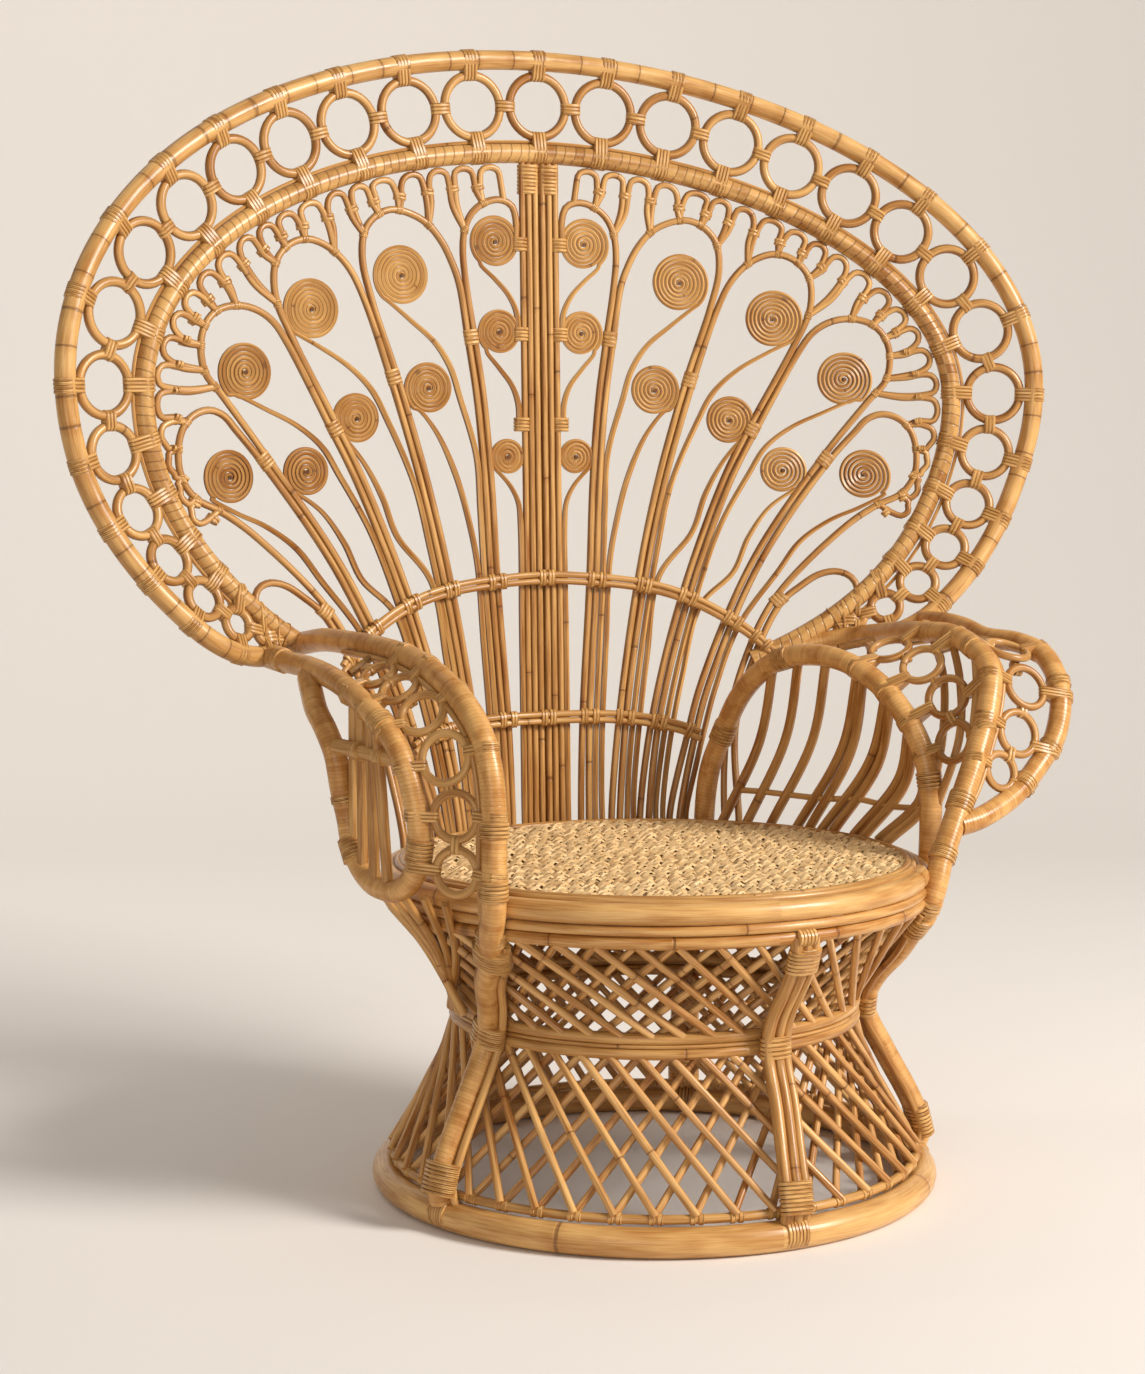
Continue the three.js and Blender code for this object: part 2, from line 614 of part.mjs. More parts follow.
// Least clear space between the turns of a spiral, measured between its points and its steps.
function leastGap(path) {
  let least = Infinity;
  const near = new THREE.Vector3();
  for (let i = 0; i < path.length; i += 1) {
    for (let k = i + SCROLL_STEPS / 2; k < path.length - 1; k += 1) {
      new THREE.Line3(path[k], path[k + 1]).closestPointToPoint(path[i], true, near);
      least = Math.min(least, near.distanceTo(path[i]) - SCROLL_WIDTH);
    }
  }
  return least;
}
let scrollGap = Infinity;
BAYS.forEach((bay, i) => {
  const pieces = bay.map((scroll, k) => {
    const spiral = spiralOf(scroll);
    const tail = scroll.tail.map((stop) => {
      if (stop === TOUCH) {
        return touchOf(bay[k + 1]);
      }
      return Array.isArray(stop) ? stop : besideRib(i, stop);
    });
    scrollGap = Math.min(scrollGap, leastGap(spiral.map(([x, z]) => onFan(x, z))));
    const path = [...spiral, ...tail].map(([x, z]) => onFan(x, z));
    return cane(path, SCROLL_WIDTH / 2, 4, Y_AXIS);
  });
  placePair(`scrolls_${i + 1}`, join(pieces), RATTAN);
});
console.log(`least gap between the turns of a scroll: ${scrollGap.toFixed(2)} mm`);

// Scallops: one cane that loops under the inner hoop and runs down to meet each arch.
const archPoints = archPaths.flatMap((path) => smooth(path, 80));
function stemDepth(angle) {
  const clear = RIB_CANE + 5 * SCALLOP_CANE;
  for (let depth = HOOP_EDGE; depth < SCALLOP_REACH; depth += 1) {
    const tip = onFan(...hoopPoint(INNER_HOOP, angle, depth + clear));
    if (archPoints.some((point) => point.distanceTo(tip) < clear)) {
      return depth;
    }
  }
  return SCALLOP_REACH;
}
function scallops() {
  const path = [];
  const top = HOOP_EDGE + 2 * SCALLOP_CANE;
  const pitch = (SCALLOP_LAST - SCALLOP_FIRST) / SCALLOP_LOOPS;
  const at = (angle, depth) => {
    const [x, z] = hoopPoint(INNER_HOOP, angle, depth);
    return { x, z };
  };
  const stem = (k, turn) => {
    const angle = SCALLOP_FIRST + k * pitch;
    const tip = stemDepth(angle);
    const head = Math.min(top + 16, (top + tip) / 2);
    const along = at(angle + turn, top);
    const across = new THREE.Vector2(along.x - at(angle, top).x, along.z - at(angle, top).z).normalize();
    return [head, tip].map((depth) => {
      const { x, z } = at(angle, depth);
      return onFan(x + SCALLOP_LEG * across.x, z + SCALLOP_LEG * across.y);
    });
  };
  for (let k = 0; k < SCALLOP_LOOPS; k += 1) {
    const [startHead, startTip] = stem(k, 1);
    const [endHead, endTip] = stem(k + 1, -1);
    const middle = SCALLOP_FIRST + (k + 0.5) * pitch;
    path.push(startTip, startHead);
    path.push(onFan(...hoopPoint(INNER_HOOP, middle, top)), endHead, endTip);
  }
  return cane(path, SCALLOP_CANE, 3, Y_AXIS);
}
placePair("scallops", scallops(), RATTAN);

// Doubled bands that cross the ribs in front, from the middle outwards.
const UPPER_BAND = [
  [-49, -584], [65, -592], [206, -615], [308, -652], [406, -718], [474, -783], [521, -846],
].map(drawn);
const LOWER_BAND = [[-49, -1111], [95, -1118], [196, -1150], [292, -1229], [341, -1307]].map(drawn);
function band([[, middle], ...half]) {
  const mirrored = half.toReversed().map(([x, z]) => [-x, z]);
  const path = [...mirrored, [0, middle], ...half].map(([x, z]) => onFan(x, z, BAND_OUT));
  return sweep(bundle(BAND_CANE, 2), path, Y_AXIS);
}
place("upper_band", band(UPPER_BAND), RATTAN);
place("lower_band", band(LOWER_BAND), RATTAN);

// Arms. Each hoop is a line of points, with heights over the seat; the two arms differ, as on the real chair.
const point = ([x, y, z]) => vector(x, y, SEAT_TOP + z);
// An arm starts in front of a fan hoop, between a point of the hoop's line and the next one. Its end
// face clears the hoop's front, which slants with the hoop.
function armStart(half, from, share, edge, side) {
  const start = half[from].clone().lerp(half[from + 1], share);
  const lean = Math.abs(half[from + 1].clone().sub(half[from]).normalize().y);
  const clear = (HOOP_CANE + GAP + edge * lean) / Math.sqrt(1 - lean * lean);
  return [clear, clear + ARM_LEAD].map((out) => vector(side * start.x, start.y - out, start.z));
}
const outerLast = outerHalf.length - 2;
const innerLast = innerHalf.length - 2;
const RIGHT_ARCH = [
  [201.6, 277.5, POST_TOP + GAP - SEAT_TOP],
  [201.6, 277.5, 3], [205, 269, 64], [214, 250, 112], [224, 226, 160],
  [237, 197, 194], [252, 162, 216], [272, 118, 225], [294, 67, 219], [316, 17, 193],
  [331, -18, 158], [342, -42, 117], [347, -53, 75], [347, -55, 20], [345, -54, -40],
].map(point);
const RIGHT_HOOP = [
  ...armStart(outerHalf, outerLast, 0.72, ARM_EDGE, 1),
  ...[
    [400, 180, 243], [398, 120, 250], [398, 60, 254], [405, 0, 254], [410, -50, 241],
    [410, -85, 217], [392, -110, 171], [359, -135, 114], [333, -150, 69], [309, -168, 25],
    [294, -182, 0], [283, -190.5, -18],
  ].map(point),
];
const RIGHT_HOOP_FOOT = vector(282.7, -190.7, POST_TOP + GAP);
const RIGHT_BOW = [
  ...armStart(outerHalf, outerLast - 2, 0.35, OUTER_ARM_EDGE, 1),
  ...[
    [484, 150, 259], [484, 100, 256], [482, 40, 246], [500, -10, 242], [511, -50, 228],
    [508, -90, 187], [489, -110, 136], [460, -120, 104], [412, -140, 70], [345.6, -163.2, 43.4],
  ].map(point),
];
const LEFT_HOOP = [
  ...armStart(innerHalf, innerLast, 0.95, ARM_EDGE, -1),
  ...[
    [-347, 200, 256], [-338, 140, 257], [-323, 60, 255], [-311, -10, 248], [-301, -80, 231],
    [-292, -135, 205], [-285, -165, 175], [-281, -181, 138], [-280, -189, 95], [-281, -192, 52],
    [-283, -193.8, 10],
  ].map(point),
];
const LEFT_HOOP_FOOT = vector(-283, -193.8, POST_TOP + GAP);
const LEFT_LOOP = [
  ...armStart(outerHalf, outerLast, 0.72, OUTER_ARM_EDGE, -1),
  ...[
    [-396, 170, 232], [-389, 120, 230], [-382, 30, 219], [-376, -40, 200],
    [-371, -85, 171], [-363, -105, 139], [-356, -115, 101], [-352, -120, 57], [-354, -115, 22],
    [-361, -95, 0], [-369, -62, -2], [-377, -30, 13], [-381, -10, 35], [-383, 0, 66],
    [-390, 2, 100], [-396, 5, 140], [-402, 22, 168], [-404, 48, 186],
  ].map(point),
];
const ARCH_SIDE = vector(0.916, 0.402, 0);
const BOW_SIDE = vector(0.6, 0.6, -0.5);
place("right_arm_arch", cane(smooth(RIGHT_ARCH, 18), ARM_CANE, 6, ARCH_SIDE), WRAPPED);
place("right_arm_hoop", cane([...smooth(RIGHT_HOOP, 15), RIGHT_HOOP_FOOT], ARM_CANE, 6, X_AXIS), WRAPPED);
place("right_arm_bow", cane(smooth(RIGHT_BOW, 14), OUTER_ARM_CANE, 6, BOW_SIDE), WRAPPED);
place("left_arm_hoop", cane([...smooth(LEFT_HOOP, 14), LEFT_HOOP_FOOT], ARM_CANE, 6, X_AXIS), WRAPPED);
place("left_arm_loop", cane(smooth(LEFT_LOOP, 24), OUTER_ARM_CANE, 6, X_AXIS), WRAPPED);

// Rings that fill the strip between two arm hoops, given as matching points on both.
function armRings(pairs, shift, first) {
  const inner = new THREE.CatmullRomCurve3(pairs.map(([a]) => point(a)), false, "centripetal");
  const outer = new THREE.CatmullRomCurve3(pairs.map(([, b]) => point(b)), false, "centripetal");
  const strip = (u) => [inner.getPoint(u), outer.getPoint(u)];
  return join(ringChain(strip, ARM_EDGE + GAP, ARM_RING, shift, first));
}
const LEFT_STRIP = [
  [[-335, 118, 256], [-388, 100, 228]],
  [[-315, 10, 251], [-379, -5, 210]],
  [[-298, -95, 225], [-373, -65, 185]],
  [[-284, -166, 172], [-367, -96, 152]],
  [[-280, -187, 110], [-357, -114, 108]],
  [[-281, -191, 50], [-352, -120, 56]],
];
const RIGHT_INNER_STRIP = [
  [[268, 128, 225], [397, 95, 251]],
  [[294, 67, 219], [397, 60, 254]],
  [[316, 17, 193], [407, -20, 250]],
  [[331, -18, 158], [410, -72, 227]],
  [[342, -42, 117], [392, -110, 171]],
  [[347, -53, 75], [362, -133, 119]],
];
const RIGHT_OUTER_STRIP = [
  [[399, 40, 255], [482, 38, 246]],
  [[410, -50, 241], [511, -50, 228]],
  [[410, -85, 217], [508, -90, 187]],
  [[392, -110, 171], [489, -110, 136]],
  [[370, -128, 132], [440, -128, 89]],
];
place("left_arm_rings", armRings(LEFT_STRIP, 0, 0.12), RATTAN);
place("right_arm_inner_rings", armRings(RIGHT_INNER_STRIP, -1.4, 0.02), RATTAN);
place("right_arm_outer_rings", armRings(RIGHT_OUTER_STRIP, -0.8, 0.1), RATTAN);

// Curved spokes under the right arch, tied by a bar near the seat: [place on the arch, seat angle].
const SPOKES = [[0.4, 133], [0.46, 127], [0.52, 121], [0.59, 115], [0.66, 109], [0.73, 100], [0.8, 92]];
const archCurve = new THREE.CatmullRomCurve3(RIGHT_ARCH, false, "centripetal");
const spokePaths = SPOKES.map(([u, angle]) => {
  const head = archCurve.getPointAt(u);
  const foot = onDrum(RIM_RADIUS + SPOKE_FOOT, angle, SEAT_TOP + SPOKE_RISE);
  const bulge = onDrum(SPOKE_BULGE, angle, 0).add(head.clone().lerp(foot, 0.5));
  const down = bulge.clone().sub(head).normalize();
  const slant = Math.abs(down.dot(archCurve.getTangentAt(u)));
  const clear = (ARM_EDGE + 2 * SPOKE_CANE * slant + 2 * GAP) / Math.sqrt(1 - slant * slant);
  return smooth([head.addScaledVector(down, clear), bulge, foot], 4);
});
const spokeBar = spokePaths.map((path) => path[3]);
const spokes = spokePaths.map((path) => cane(path, SPOKE_CANE, 4, ARCH_SIDE));
place("right_arm_spokes", join([...spokes, cane(spokeBar, SPOKE_CANE + 1, 4, Z_AXIS)]), RATTAN);

// A crossbar and uprights inside the left loop.
const LEFT_GRID = [
  [[-393, -9, 151], [-369.6, -84.3, 144]],
  [[-390, -24, 185], [-384, -27, 52]],
  [[-381, -50, 173], [-376, -55, 22]],
  [[-374, -71, 158], [-367, -80, 22]],
];
const gridCanes = LEFT_GRID.map(([a, b]) => cane([point(a), point(b)], SPOKE_CANE, 4, X_AXIS));
place("left_arm_grid", join(gridCanes), RATTAN);

// Stays that gather from under each arm to one knot above the waist.
function stays(heads, knot) {
  const foot = point(knot);
  return join(
    heads.map((head) => {
      const start = point(head);
      const middle = start.clone().lerp(foot, 0.5);
      middle.multiply(vector(0.97, 0.97, 1));
      return cane(smooth([start, middle, foot], 4), SPOKE_CANE, 4, Y_AXIS);
    }),
  );
}
const LEFT_STAYS = [[-356, -98, -18], [-368, -62, -15.9], [-375, -26, -6]];
const RIGHT_STAYS = [[346, -56, -44], [350, -20, -44], [344, 20, -44]];
place("left_arm_stays", stays(LEFT_STAYS, [-262, -32, -154]), RATTAN);
place("right_arm_stays", stays(RIGHT_STAYS, [262, -26, -154]), RATTAN);

// The origin lies on the floor under the middle of the chair's box.
chair.updateMatrixWorld(true);
const box = new THREE.Box3().setFromObject(chair);
chair.position.y = -(box.min.y + box.max.y) / 2;

export default chair;
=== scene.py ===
import math
import random

import bmesh
import bpy
import numpy as np
from mathutils import Matrix, Vector
from mathutils.geometry import interpolate_bezier


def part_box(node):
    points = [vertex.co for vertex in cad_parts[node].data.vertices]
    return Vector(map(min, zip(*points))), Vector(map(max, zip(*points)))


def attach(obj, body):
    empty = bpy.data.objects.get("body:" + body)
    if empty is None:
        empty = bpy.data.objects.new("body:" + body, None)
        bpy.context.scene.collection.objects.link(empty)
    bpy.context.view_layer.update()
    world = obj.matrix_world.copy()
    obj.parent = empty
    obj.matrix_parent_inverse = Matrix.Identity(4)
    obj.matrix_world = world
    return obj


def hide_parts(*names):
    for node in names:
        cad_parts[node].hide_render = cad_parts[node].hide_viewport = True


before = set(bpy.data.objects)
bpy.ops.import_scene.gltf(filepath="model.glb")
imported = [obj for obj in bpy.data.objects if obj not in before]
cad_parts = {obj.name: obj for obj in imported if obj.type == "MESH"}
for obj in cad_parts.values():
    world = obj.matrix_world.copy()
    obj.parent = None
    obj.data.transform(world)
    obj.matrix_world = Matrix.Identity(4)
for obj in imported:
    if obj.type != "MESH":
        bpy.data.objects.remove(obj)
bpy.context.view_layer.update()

# Floor hoop: a thick pole of bare rattan, steamed, bent to a ring and scarfed end to end.
# The whole chair stands on it. Growth joints show as fine dark rings round the lacquered pole.
# Places are in millimetres from the drum's axis, and become metres when a cane is laid.
FLOOR_RADIUS = 321
FLOOR_POLE = 17
floor_low, floor_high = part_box("floor_hoop")
DRUM_AXIS = (floor_low.y + floor_high.y) / 2
UP = Vector((0, 0, 1))
chance = random.Random(4)

def on_drum(radius, angle, z):
    """A place round the drum's axis, at an angle from the front counted towards +X."""
    turn = math.radians(angle)
    return Vector((radius * math.sin(turn), -radius * math.cos(turn), z))

def level_ring(radius, z, count=120):
    """A closed level line round the drum's axis."""
    return [on_drum(radius, 360 * k / count, z) for k in range(count)]

def metres(place):
    """A place in metres of the shared frame, with 1 as its fourth part."""
    return place.x / 1000, place.y / 1000 + DRUM_AXIS, place.z / 1000, 1

def add_mesh(piece, mesh):
    """Adds a mesh to a piece, with a tone of its own, and removes it."""
    tone = mesh.attributes.new("tone", "FLOAT", "POINT")
    tone.data.foreach_set("value", [chance.random()] * len(mesh.vertices))
    piece.from_mesh(mesh)
    bpy.data.meshes.remove(mesh)

def lay_cane(piece, line, thickness, closed=False, roundness=2, slim=None):
    """Adds a round cane along a line; its UV map holds the length in metres and the turn."""
    curve = bpy.data.curves.new("cane", "CURVE")
    curve.dimensions = "3D"
    curve.bevel_depth = thickness / 1000
    curve.bevel_resolution = roundness
    curve.use_fill_caps = not closed
    path = curve.splines.new("POLY")
    path.points.add(len(line) - 1)
    path.use_cyclic_u = closed
    for k, place in enumerate(line):
        path.points[k].co = metres(place)
        path.points[k].radius = slim[k] if slim else 1
    holder = bpy.data.objects.new("cane", curve)
    mesh = bpy.data.meshes.new_from_object(holder)
    run = line + line[:1] if closed else line
    length = sum((b - a).length for a, b in zip(run, run[1:])) / 1000
    corners = np.empty(2 * len(mesh.loops), np.float32)
    mesh.uv_layers[0].data.foreach_get("uv", corners)
    corners[0::2] *= length
    mesh.uv_layers[0].data.foreach_set("uv", corners)
    add_mesh(piece, mesh)
    bpy.data.objects.remove(holder)
    bpy.data.curves.remove(curve)

def fit(name, piece, finish, slot, *nodes):
    """Makes a finished piece an object of the chair, in place of the solids that it stands for."""
    mesh = bpy.data.meshes.new(name)
    piece.to_mesh(mesh)
    piece.free()
    mesh.shade_smooth()
    mesh.set_sharp_from_angle(angle=math.radians(50))
    mesh.materials.append(finish)
    made = bpy.data.objects.new(name, mesh)
    bpy.context.scene.collection.objects.link(made)
    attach(made, "root")
    if nodes:
        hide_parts(*nodes)

def fit_canes(name, lines, thickness, finish, slot, *nodes, **shape):
    """Makes a piece of canes of one thickness, one along each line."""
    piece = bmesh.new()
    for line in lines:
        lay_cane(piece, line, thickness, **shape)
    fit(name, piece, finish, slot, *nodes)

def fit_cane(name, line, *rest, **shape):
    """Makes a piece of a single cane."""
    fit_canes(name, [line], *rest, **shape)

def fit_hoop(name, radius, z, thickness, finish, *nodes, roundness=2, count=120):
    """Makes a piece of one level hoop round the drum's axis."""
    hoop = level_ring(radius, z, count)
    fit_cane(name, hoop, thickness, finish, "rattan", *nodes, closed=True, roundness=roundness)

def plug(socket, value):
    """Feeds a node's socket from another socket, or sets it to a plain value."""
    if isinstance(value, bpy.types.NodeSocket):
        socket.id_data.links.new(value, socket)
    else:
        socket.default_value = value

def maths(operation, a, b=0.0, clamp=False):
    """A Math node; a is a socket, b a number or a socket."""
    node = a.id_data.nodes.new("ShaderNodeMath")
    node.operation = operation
    node.use_clamp = clamp
    plug(node.inputs[0], a)
    plug(node.inputs[1], b)
    return node.outputs[0]

def times(a, b):
    """A socket multiplied by a number or a socket."""
    return maths("MULTIPLY", a, b)

def plus(a, b, clamp=False):
    """Two sockets added."""
    return maths("ADD", a, b, clamp)

def fade(value, start, end, first, last):
    """A value carried smoothly from one range to another and held at its ends."""
    node = value.id_data.nodes.new("ShaderNodeMapRange")
    node.interpolation_type = "SMOOTHSTEP"
    names = ("Value", "From Min", "From Max", "To Min", "To Max")
    for name, number in zip(names, (value, start, end, first, last)):
        plug(node.inputs[name], number)
    return node.outputs["Result"]

def speckle(x, y, z, detail=2.0):
    """Noise at a place made of three sockets."""
    nodes = x.id_data.nodes
    place = nodes.new("ShaderNodeCombineXYZ")
    for socket, value in zip(place.inputs, (x, y, z)):
        plug(socket, value)
    node = nodes.new("ShaderNodeTexNoise")
    plug(node.inputs["Vector"], place.outputs[0])
    node.inputs["Scale"].default_value = 1.0
    node.inputs["Detail"].default_value = detail
    return node.outputs["Fac"]

def dye(share, first, second):
    """A mix of two colours, each a socket or a value."""
    node = share.id_data.nodes.new("ShaderNodeMix")
    node.data_type = "RGBA"
    for k, value in ((0, share), (6, first), (7, second)):
        plug(node.inputs[k], value)
    return node.outputs[2]

def effect_group(name, numbers):
    """A shader group with two colours and some numbers in, and colour, roughness and height out."""
    group = bpy.data.node_groups.new(name, "ShaderNodeTree")
    sockets = [("Pale", "INPUT", "Color"), ("Deep", "INPUT", "Color")]
    sockets += [(number, "INPUT", "Float") for number in numbers]
    sockets += [("Colour", "OUTPUT", "Color")]
    sockets += [(number, "OUTPUT", "Float") for number in ("Roughness", "Height")]
    for title, way, kind in sockets:
        group.interface.new_socket(title, in_out=way, socket_type=f"NodeSocket{kind}")
    return group, group.nodes.new("NodeGroupInput").outputs, group.nodes.new("NodeGroupOutput").inputs

def cane_places(tree):
    """Length along a cane, its turn, the turn as a circle's two sides, and the cane's own tone."""
    chart = tree.nodes.new("ShaderNodeUVMap")
    chart.uv_map = "UVMap"
    parts = tree.nodes.new("ShaderNodeSeparateXYZ")
    plug(parts.inputs[0], chart.outputs[0])
    along, turn = parts.outputs[0], parts.outputs[1]
    angle = times(turn, 2 * math.pi)
    own = tree.nodes.new("ShaderNodeAttribute")
    own.attribute_name = "tone"
    return along, turn, maths("COSINE", angle), maths("SINE", angle), own.outputs["Fac"]

# Dark brown for the canes' dark joint lines, and for the painted shade on their sides.
JOINT_AND_SHADE_BROWN = (0.10, 0.033, 0.008, 1)
cane_grain, grain_in, grain_out = effect_group("cane grain", ("Joint spacing", "Fibres", "Groove shade"))
along, _, side_a, side_b, own_tone = cane_places(cane_grain)
spacing, fibres = grain_in["Joint spacing"], grain_in["Fibres"]
fibre = speckle(
    times(along, 24.0), times(side_a, fibres), plus(times(side_b, fibres), times(own_tone, 60.0)), 3.0
)
mottle = speckle(times(along, 11.0), times(side_a, 0.7), plus(side_b, times(own_tone, 37.0)))
joints_along = maths("DIVIDE", along, spacing)
wander = speckle(joints_along, times(own_tone, 71.0), own_tone)
joint = maths("FRACT", plus(joints_along, times(plus(own_tone, wander), 1.4)))
from_joint = times(maths("ABSOLUTE", maths("SUBTRACT", joint, 0.5)), spacing)
joint_line = fade(from_joint, 0.0006, 0.0024, 1.0, 0.0)
joint_swell = fade(from_joint, 0.0, 0.016, 1.0, 0.0)
patches = times(fade(mottle, 0.36, 0.66, 0.0, 1.0), 0.44)
patches = plus(patches, times(fade(fibre, 0.36, 0.7, 0.0, 1.0), 0.3))
browning = plus(patches, plus(times(own_tone, 0.34), times(joint_swell, 0.16)), clamp=True)
honey = dye(browning, grain_in["Pale"], grain_in["Deep"])
jointed = dye(times(joint_line, 0.55), honey, JOINT_AND_SHADE_BROWN)
# Painted shade: sides of a cane that face away from front and back (small normal y) are darkened towards dark
# brown by the Groove shade amount, as if shaded by the canes beside them.
surface = cane_grain.nodes.new("ShaderNodeNewGeometry")
facing = cane_grain.nodes.new("ShaderNodeSeparateXYZ")
plug(facing.inputs[0], surface.outputs["Normal"])
painted_groove_shade = fade(maths("ABSOLUTE", facing.outputs[1]), 0.45, 0.97, 1.0, 0.0)
plug(grain_out["Colour"], dye(times(painted_groove_shade, grain_in["Groove shade"]), jointed, JOINT_AND_SHADE_BROWN))
plug(grain_out["Roughness"], fade(fibre, 0.2, 0.9, 0.28, 0.48))
plug(grain_out["Height"], plus(times(fibre, 0.35), maths("SUBTRACT", times(joint_swell, 0.7), joint_line)))

def lacquer(name, effect, pale, deep, numbers, relief):
    """A lacquered cane finish: one effect group that feeds a coated shader."""
    finish = bpy.data.materials.new(name)
    finish.use_nodes = True
    nodes = finish.node_tree.nodes
    group = nodes.new("ShaderNodeGroup")
    group.node_tree = effect
    for key, value in {"Pale": (*pale, 1), "Deep": (*deep, 1), **numbers}.items():
        plug(group.inputs[key], value)
    bump = nodes.new("ShaderNodeBump")
    for key, value in (("Strength", 0.6), ("Distance", relief), ("Height", group.outputs["Height"])):
        plug(bump.inputs[key], value)
    for key, value in (
        ("Specular IOR Level", 0.35), ("Coat Weight", 0.2), ("Coat Roughness", 0.2),
        ("Base Color", group.outputs["Colour"]), ("Roughness", group.outputs["Roughness"]),
        ("Normal", bump.outputs["Normal"]),
    ):
        plug(nodes["Principled BSDF"].inputs[key], value)
    return finish

thick_pole = lacquer(
    "thick pole", cane_grain, (0.76, 0.46, 0.17), (0.35, 0.12, 0.012),
    {"Joint spacing": 0.66, "Fibres": 9.0}, 0.0012,
)
fit_hoop("FloorHoop", FLOOR_RADIUS, FLOOR_POLE, FLOOR_POLE, thick_pole, "floor_hoop", roundness=6)

# Foot rail: a slim cane hoop laid on the floor hoop, just inside its crown.
# Flat cane strip is wound round it at every foot of the lattice, two turns each.
RAIL_RADIUS = 312
RAIL_CANE = 5.5
RAIL_HEIGHT = 40
RAIL_NUDGE = 0.85
RAIL_BINDING = (6, 6.6, 6.8)
LATTICE_CANES = 44
BINDING_STRIP = 4.6

strip_winding, wind_in, wind_out = effect_group("strip winding", ("Strip width", "Shading", "Edge shadow", "Uneven"))
along, turn, side_a, side_b, own_tone = cane_places(strip_winding)
evenly = plus(maths("DIVIDE", along, wind_in["Strip width"]), turn)
uneven = speckle(times(evenly, 0.3), own_tone, own_tone)
wound = plus(evenly, times(uneven, wind_in["Uneven"]))
strip_number = maths("FLOOR", wound)
strip_place = strip_winding.nodes.new("ShaderNodeCombineXYZ")
plug(strip_place.inputs[0], strip_number)
plug(strip_place.inputs[1], times(own_tone, 97.0))
strip_tone = strip_winding.nodes.new("ShaderNodeTexWhiteNoise")
strip_tone.noise_dimensions = "2D"
plug(strip_tone.inputs["Vector"], strip_place.outputs[0])
across_strip = maths("SUBTRACT", maths("FRACT", wound), 0.5)
strip_edge = fade(maths("ABSOLUTE", across_strip), 0.38, 0.5, 0.0, 1.0)
strip_fibre = speckle(times(wound, 7.0), times(side_a, 2.2), plus(times(side_b, 2.2), strip_number), 3.0)
weather = speckle(times(wound, 0.11), times(side_a, 0.5), plus(side_b, times(own_tone, 23.0)))
shading = times(maths("POWER", strip_tone.outputs["Value"], 2.5), wind_in["Shading"])
wear = times(fade(weather, 0.36, 0.66, 0.0, 1.0), 0.5)
wear = plus(wear, times(fade(strip_fibre, 0.3, 0.8, 0.0, 1.0), 0.22))
strip_colour = dye(plus(shading, wear, clamp=True), wind_in["Pale"], wind_in["Deep"])
# Painted shade: the edges of each strip are darkened where it meets the next, for the shade in the seams
# between turns.
edge_shadow = times(strip_edge, wind_in["Edge shadow"])
plug(wind_out["Colour"], dye(edge_shadow, strip_colour, (0.10, 0.034, 0.008, 1)))
plug(wind_out["Roughness"], fade(strip_fibre, 0.2, 0.9, 0.28, 0.46))
plug(wind_out["Height"], maths("SUBTRACT", times(strip_fibre, 0.15), strip_edge))

sleeve = bmesh.new()
half_step = Matrix.Rotation(math.radians(15), 4, "Z")
bmesh.ops.create_cone(
    sleeve, segments=12, radius1=1, radius2=1, depth=2, cap_ends=True, matrix=half_step
)
lengthwise = [edge for edge in sleeve.edges if abs(edge.verts[0].co.z - edge.verts[1].co.z) > 1]
bmesh.ops.subdivide_edges(sleeve, edges=lengthwise, cuts=2)
shoulders = [vert for vert in sleeve.verts if abs(vert.co.z) > 0.9]
bmesh.ops.scale(sleeve, verts=shoulders, vec=(0.87, 0.87, 1))
middles = [vert for vert in sleeve.verts if abs(vert.co.z) < 0.9]
bmesh.ops.scale(sleeve, verts=middles, vec=(1, 1, 2.3))
chart = sleeve.loops.layers.uv.new("UVMap")
for face in sleeve.faces:
    facing = math.atan2(face.calc_center_median().y, face.calc_center_median().x)
    for corner in face.loops:
        lean = math.atan2(corner.vert.co.y, corner.vert.co.x) - facing
        lean = (lean + math.pi) % (2 * math.pi) - math.pi
        corner[chart].uv = ((corner.vert.co.z + 1) / 2, (facing + lean) / (2 * math.pi))
unit_sleeve = bpy.data.meshes.new("sleeve")
sleeve.to_mesh(unit_sleeve)
sleeve.free()

def grip(place, sideways, outwards, lengthways):
    """The matrix that carries the unit sleeve to a place, with its half sizes as three axes."""
    matrix = Matrix.Identity(4)
    for column, axis in enumerate((sideways, outwards, lengthways)):
        matrix.col[column] = (*(axis / 1000), 0)
    matrix.col[3] = metres(place)
    return matrix

def add_turn(piece, near, far):
    """Adds one turn of strip: the unit sleeve, each half of it carried by a matrix of its own."""
    turn_mesh = bmesh.new()
    turn_mesh.from_mesh(unit_sleeve)
    near_half = [vert for vert in turn_mesh.verts if vert.co.x < 0]
    far_half = [vert for vert in turn_mesh.verts if vert.co.x > 0]
    bmesh.ops.transform(turn_mesh, matrix=near, verts=near_half)
    bmesh.ops.transform(turn_mesh, matrix=far, verts=far_half)
    mesh = bpy.data.meshes.new("turn")
    turn_mesh.to_mesh(mesh)
    turn_mesh.free()
    add_mesh(piece, mesh)

def wind(piece, place, along, across, length, near, far, apart):
    """Winds strip turn after turn, its two halves with half sizes of their own, apart or not."""
    lengthways = along.normalized()
    across = across - across.project(lengthways)
    sideways = across.normalized()
    outwards = lengthways.cross(sideways)
    turns = max(round(length / BINDING_STRIP), 1)
    half = lengthways * length / turns / 2
    for k in range(turns):
        start = place + half * (2 * k + 1 - turns)
        near_half = grip(start, sideways * near[0], outwards * near[1], half)
        far_half = grip(start + across * apart, sideways * far[0], outwards * far[1], half)
        add_turn(piece, near_half, far_half)

def lash(piece, first, second, along, length, thick, thin):
    """Winds strip tight round two canes that lie side by side at two places."""
    wind(piece, first, along, second - first, length, (thick, thick), (thin, thin), 1)

def bind(piece, place, along, across, length, wide, deep):
    """Winds strip round what lies at a place, as an oval along a direction."""
    wind(piece, place, along, across, length, (wide, deep), (wide, deep), 0)

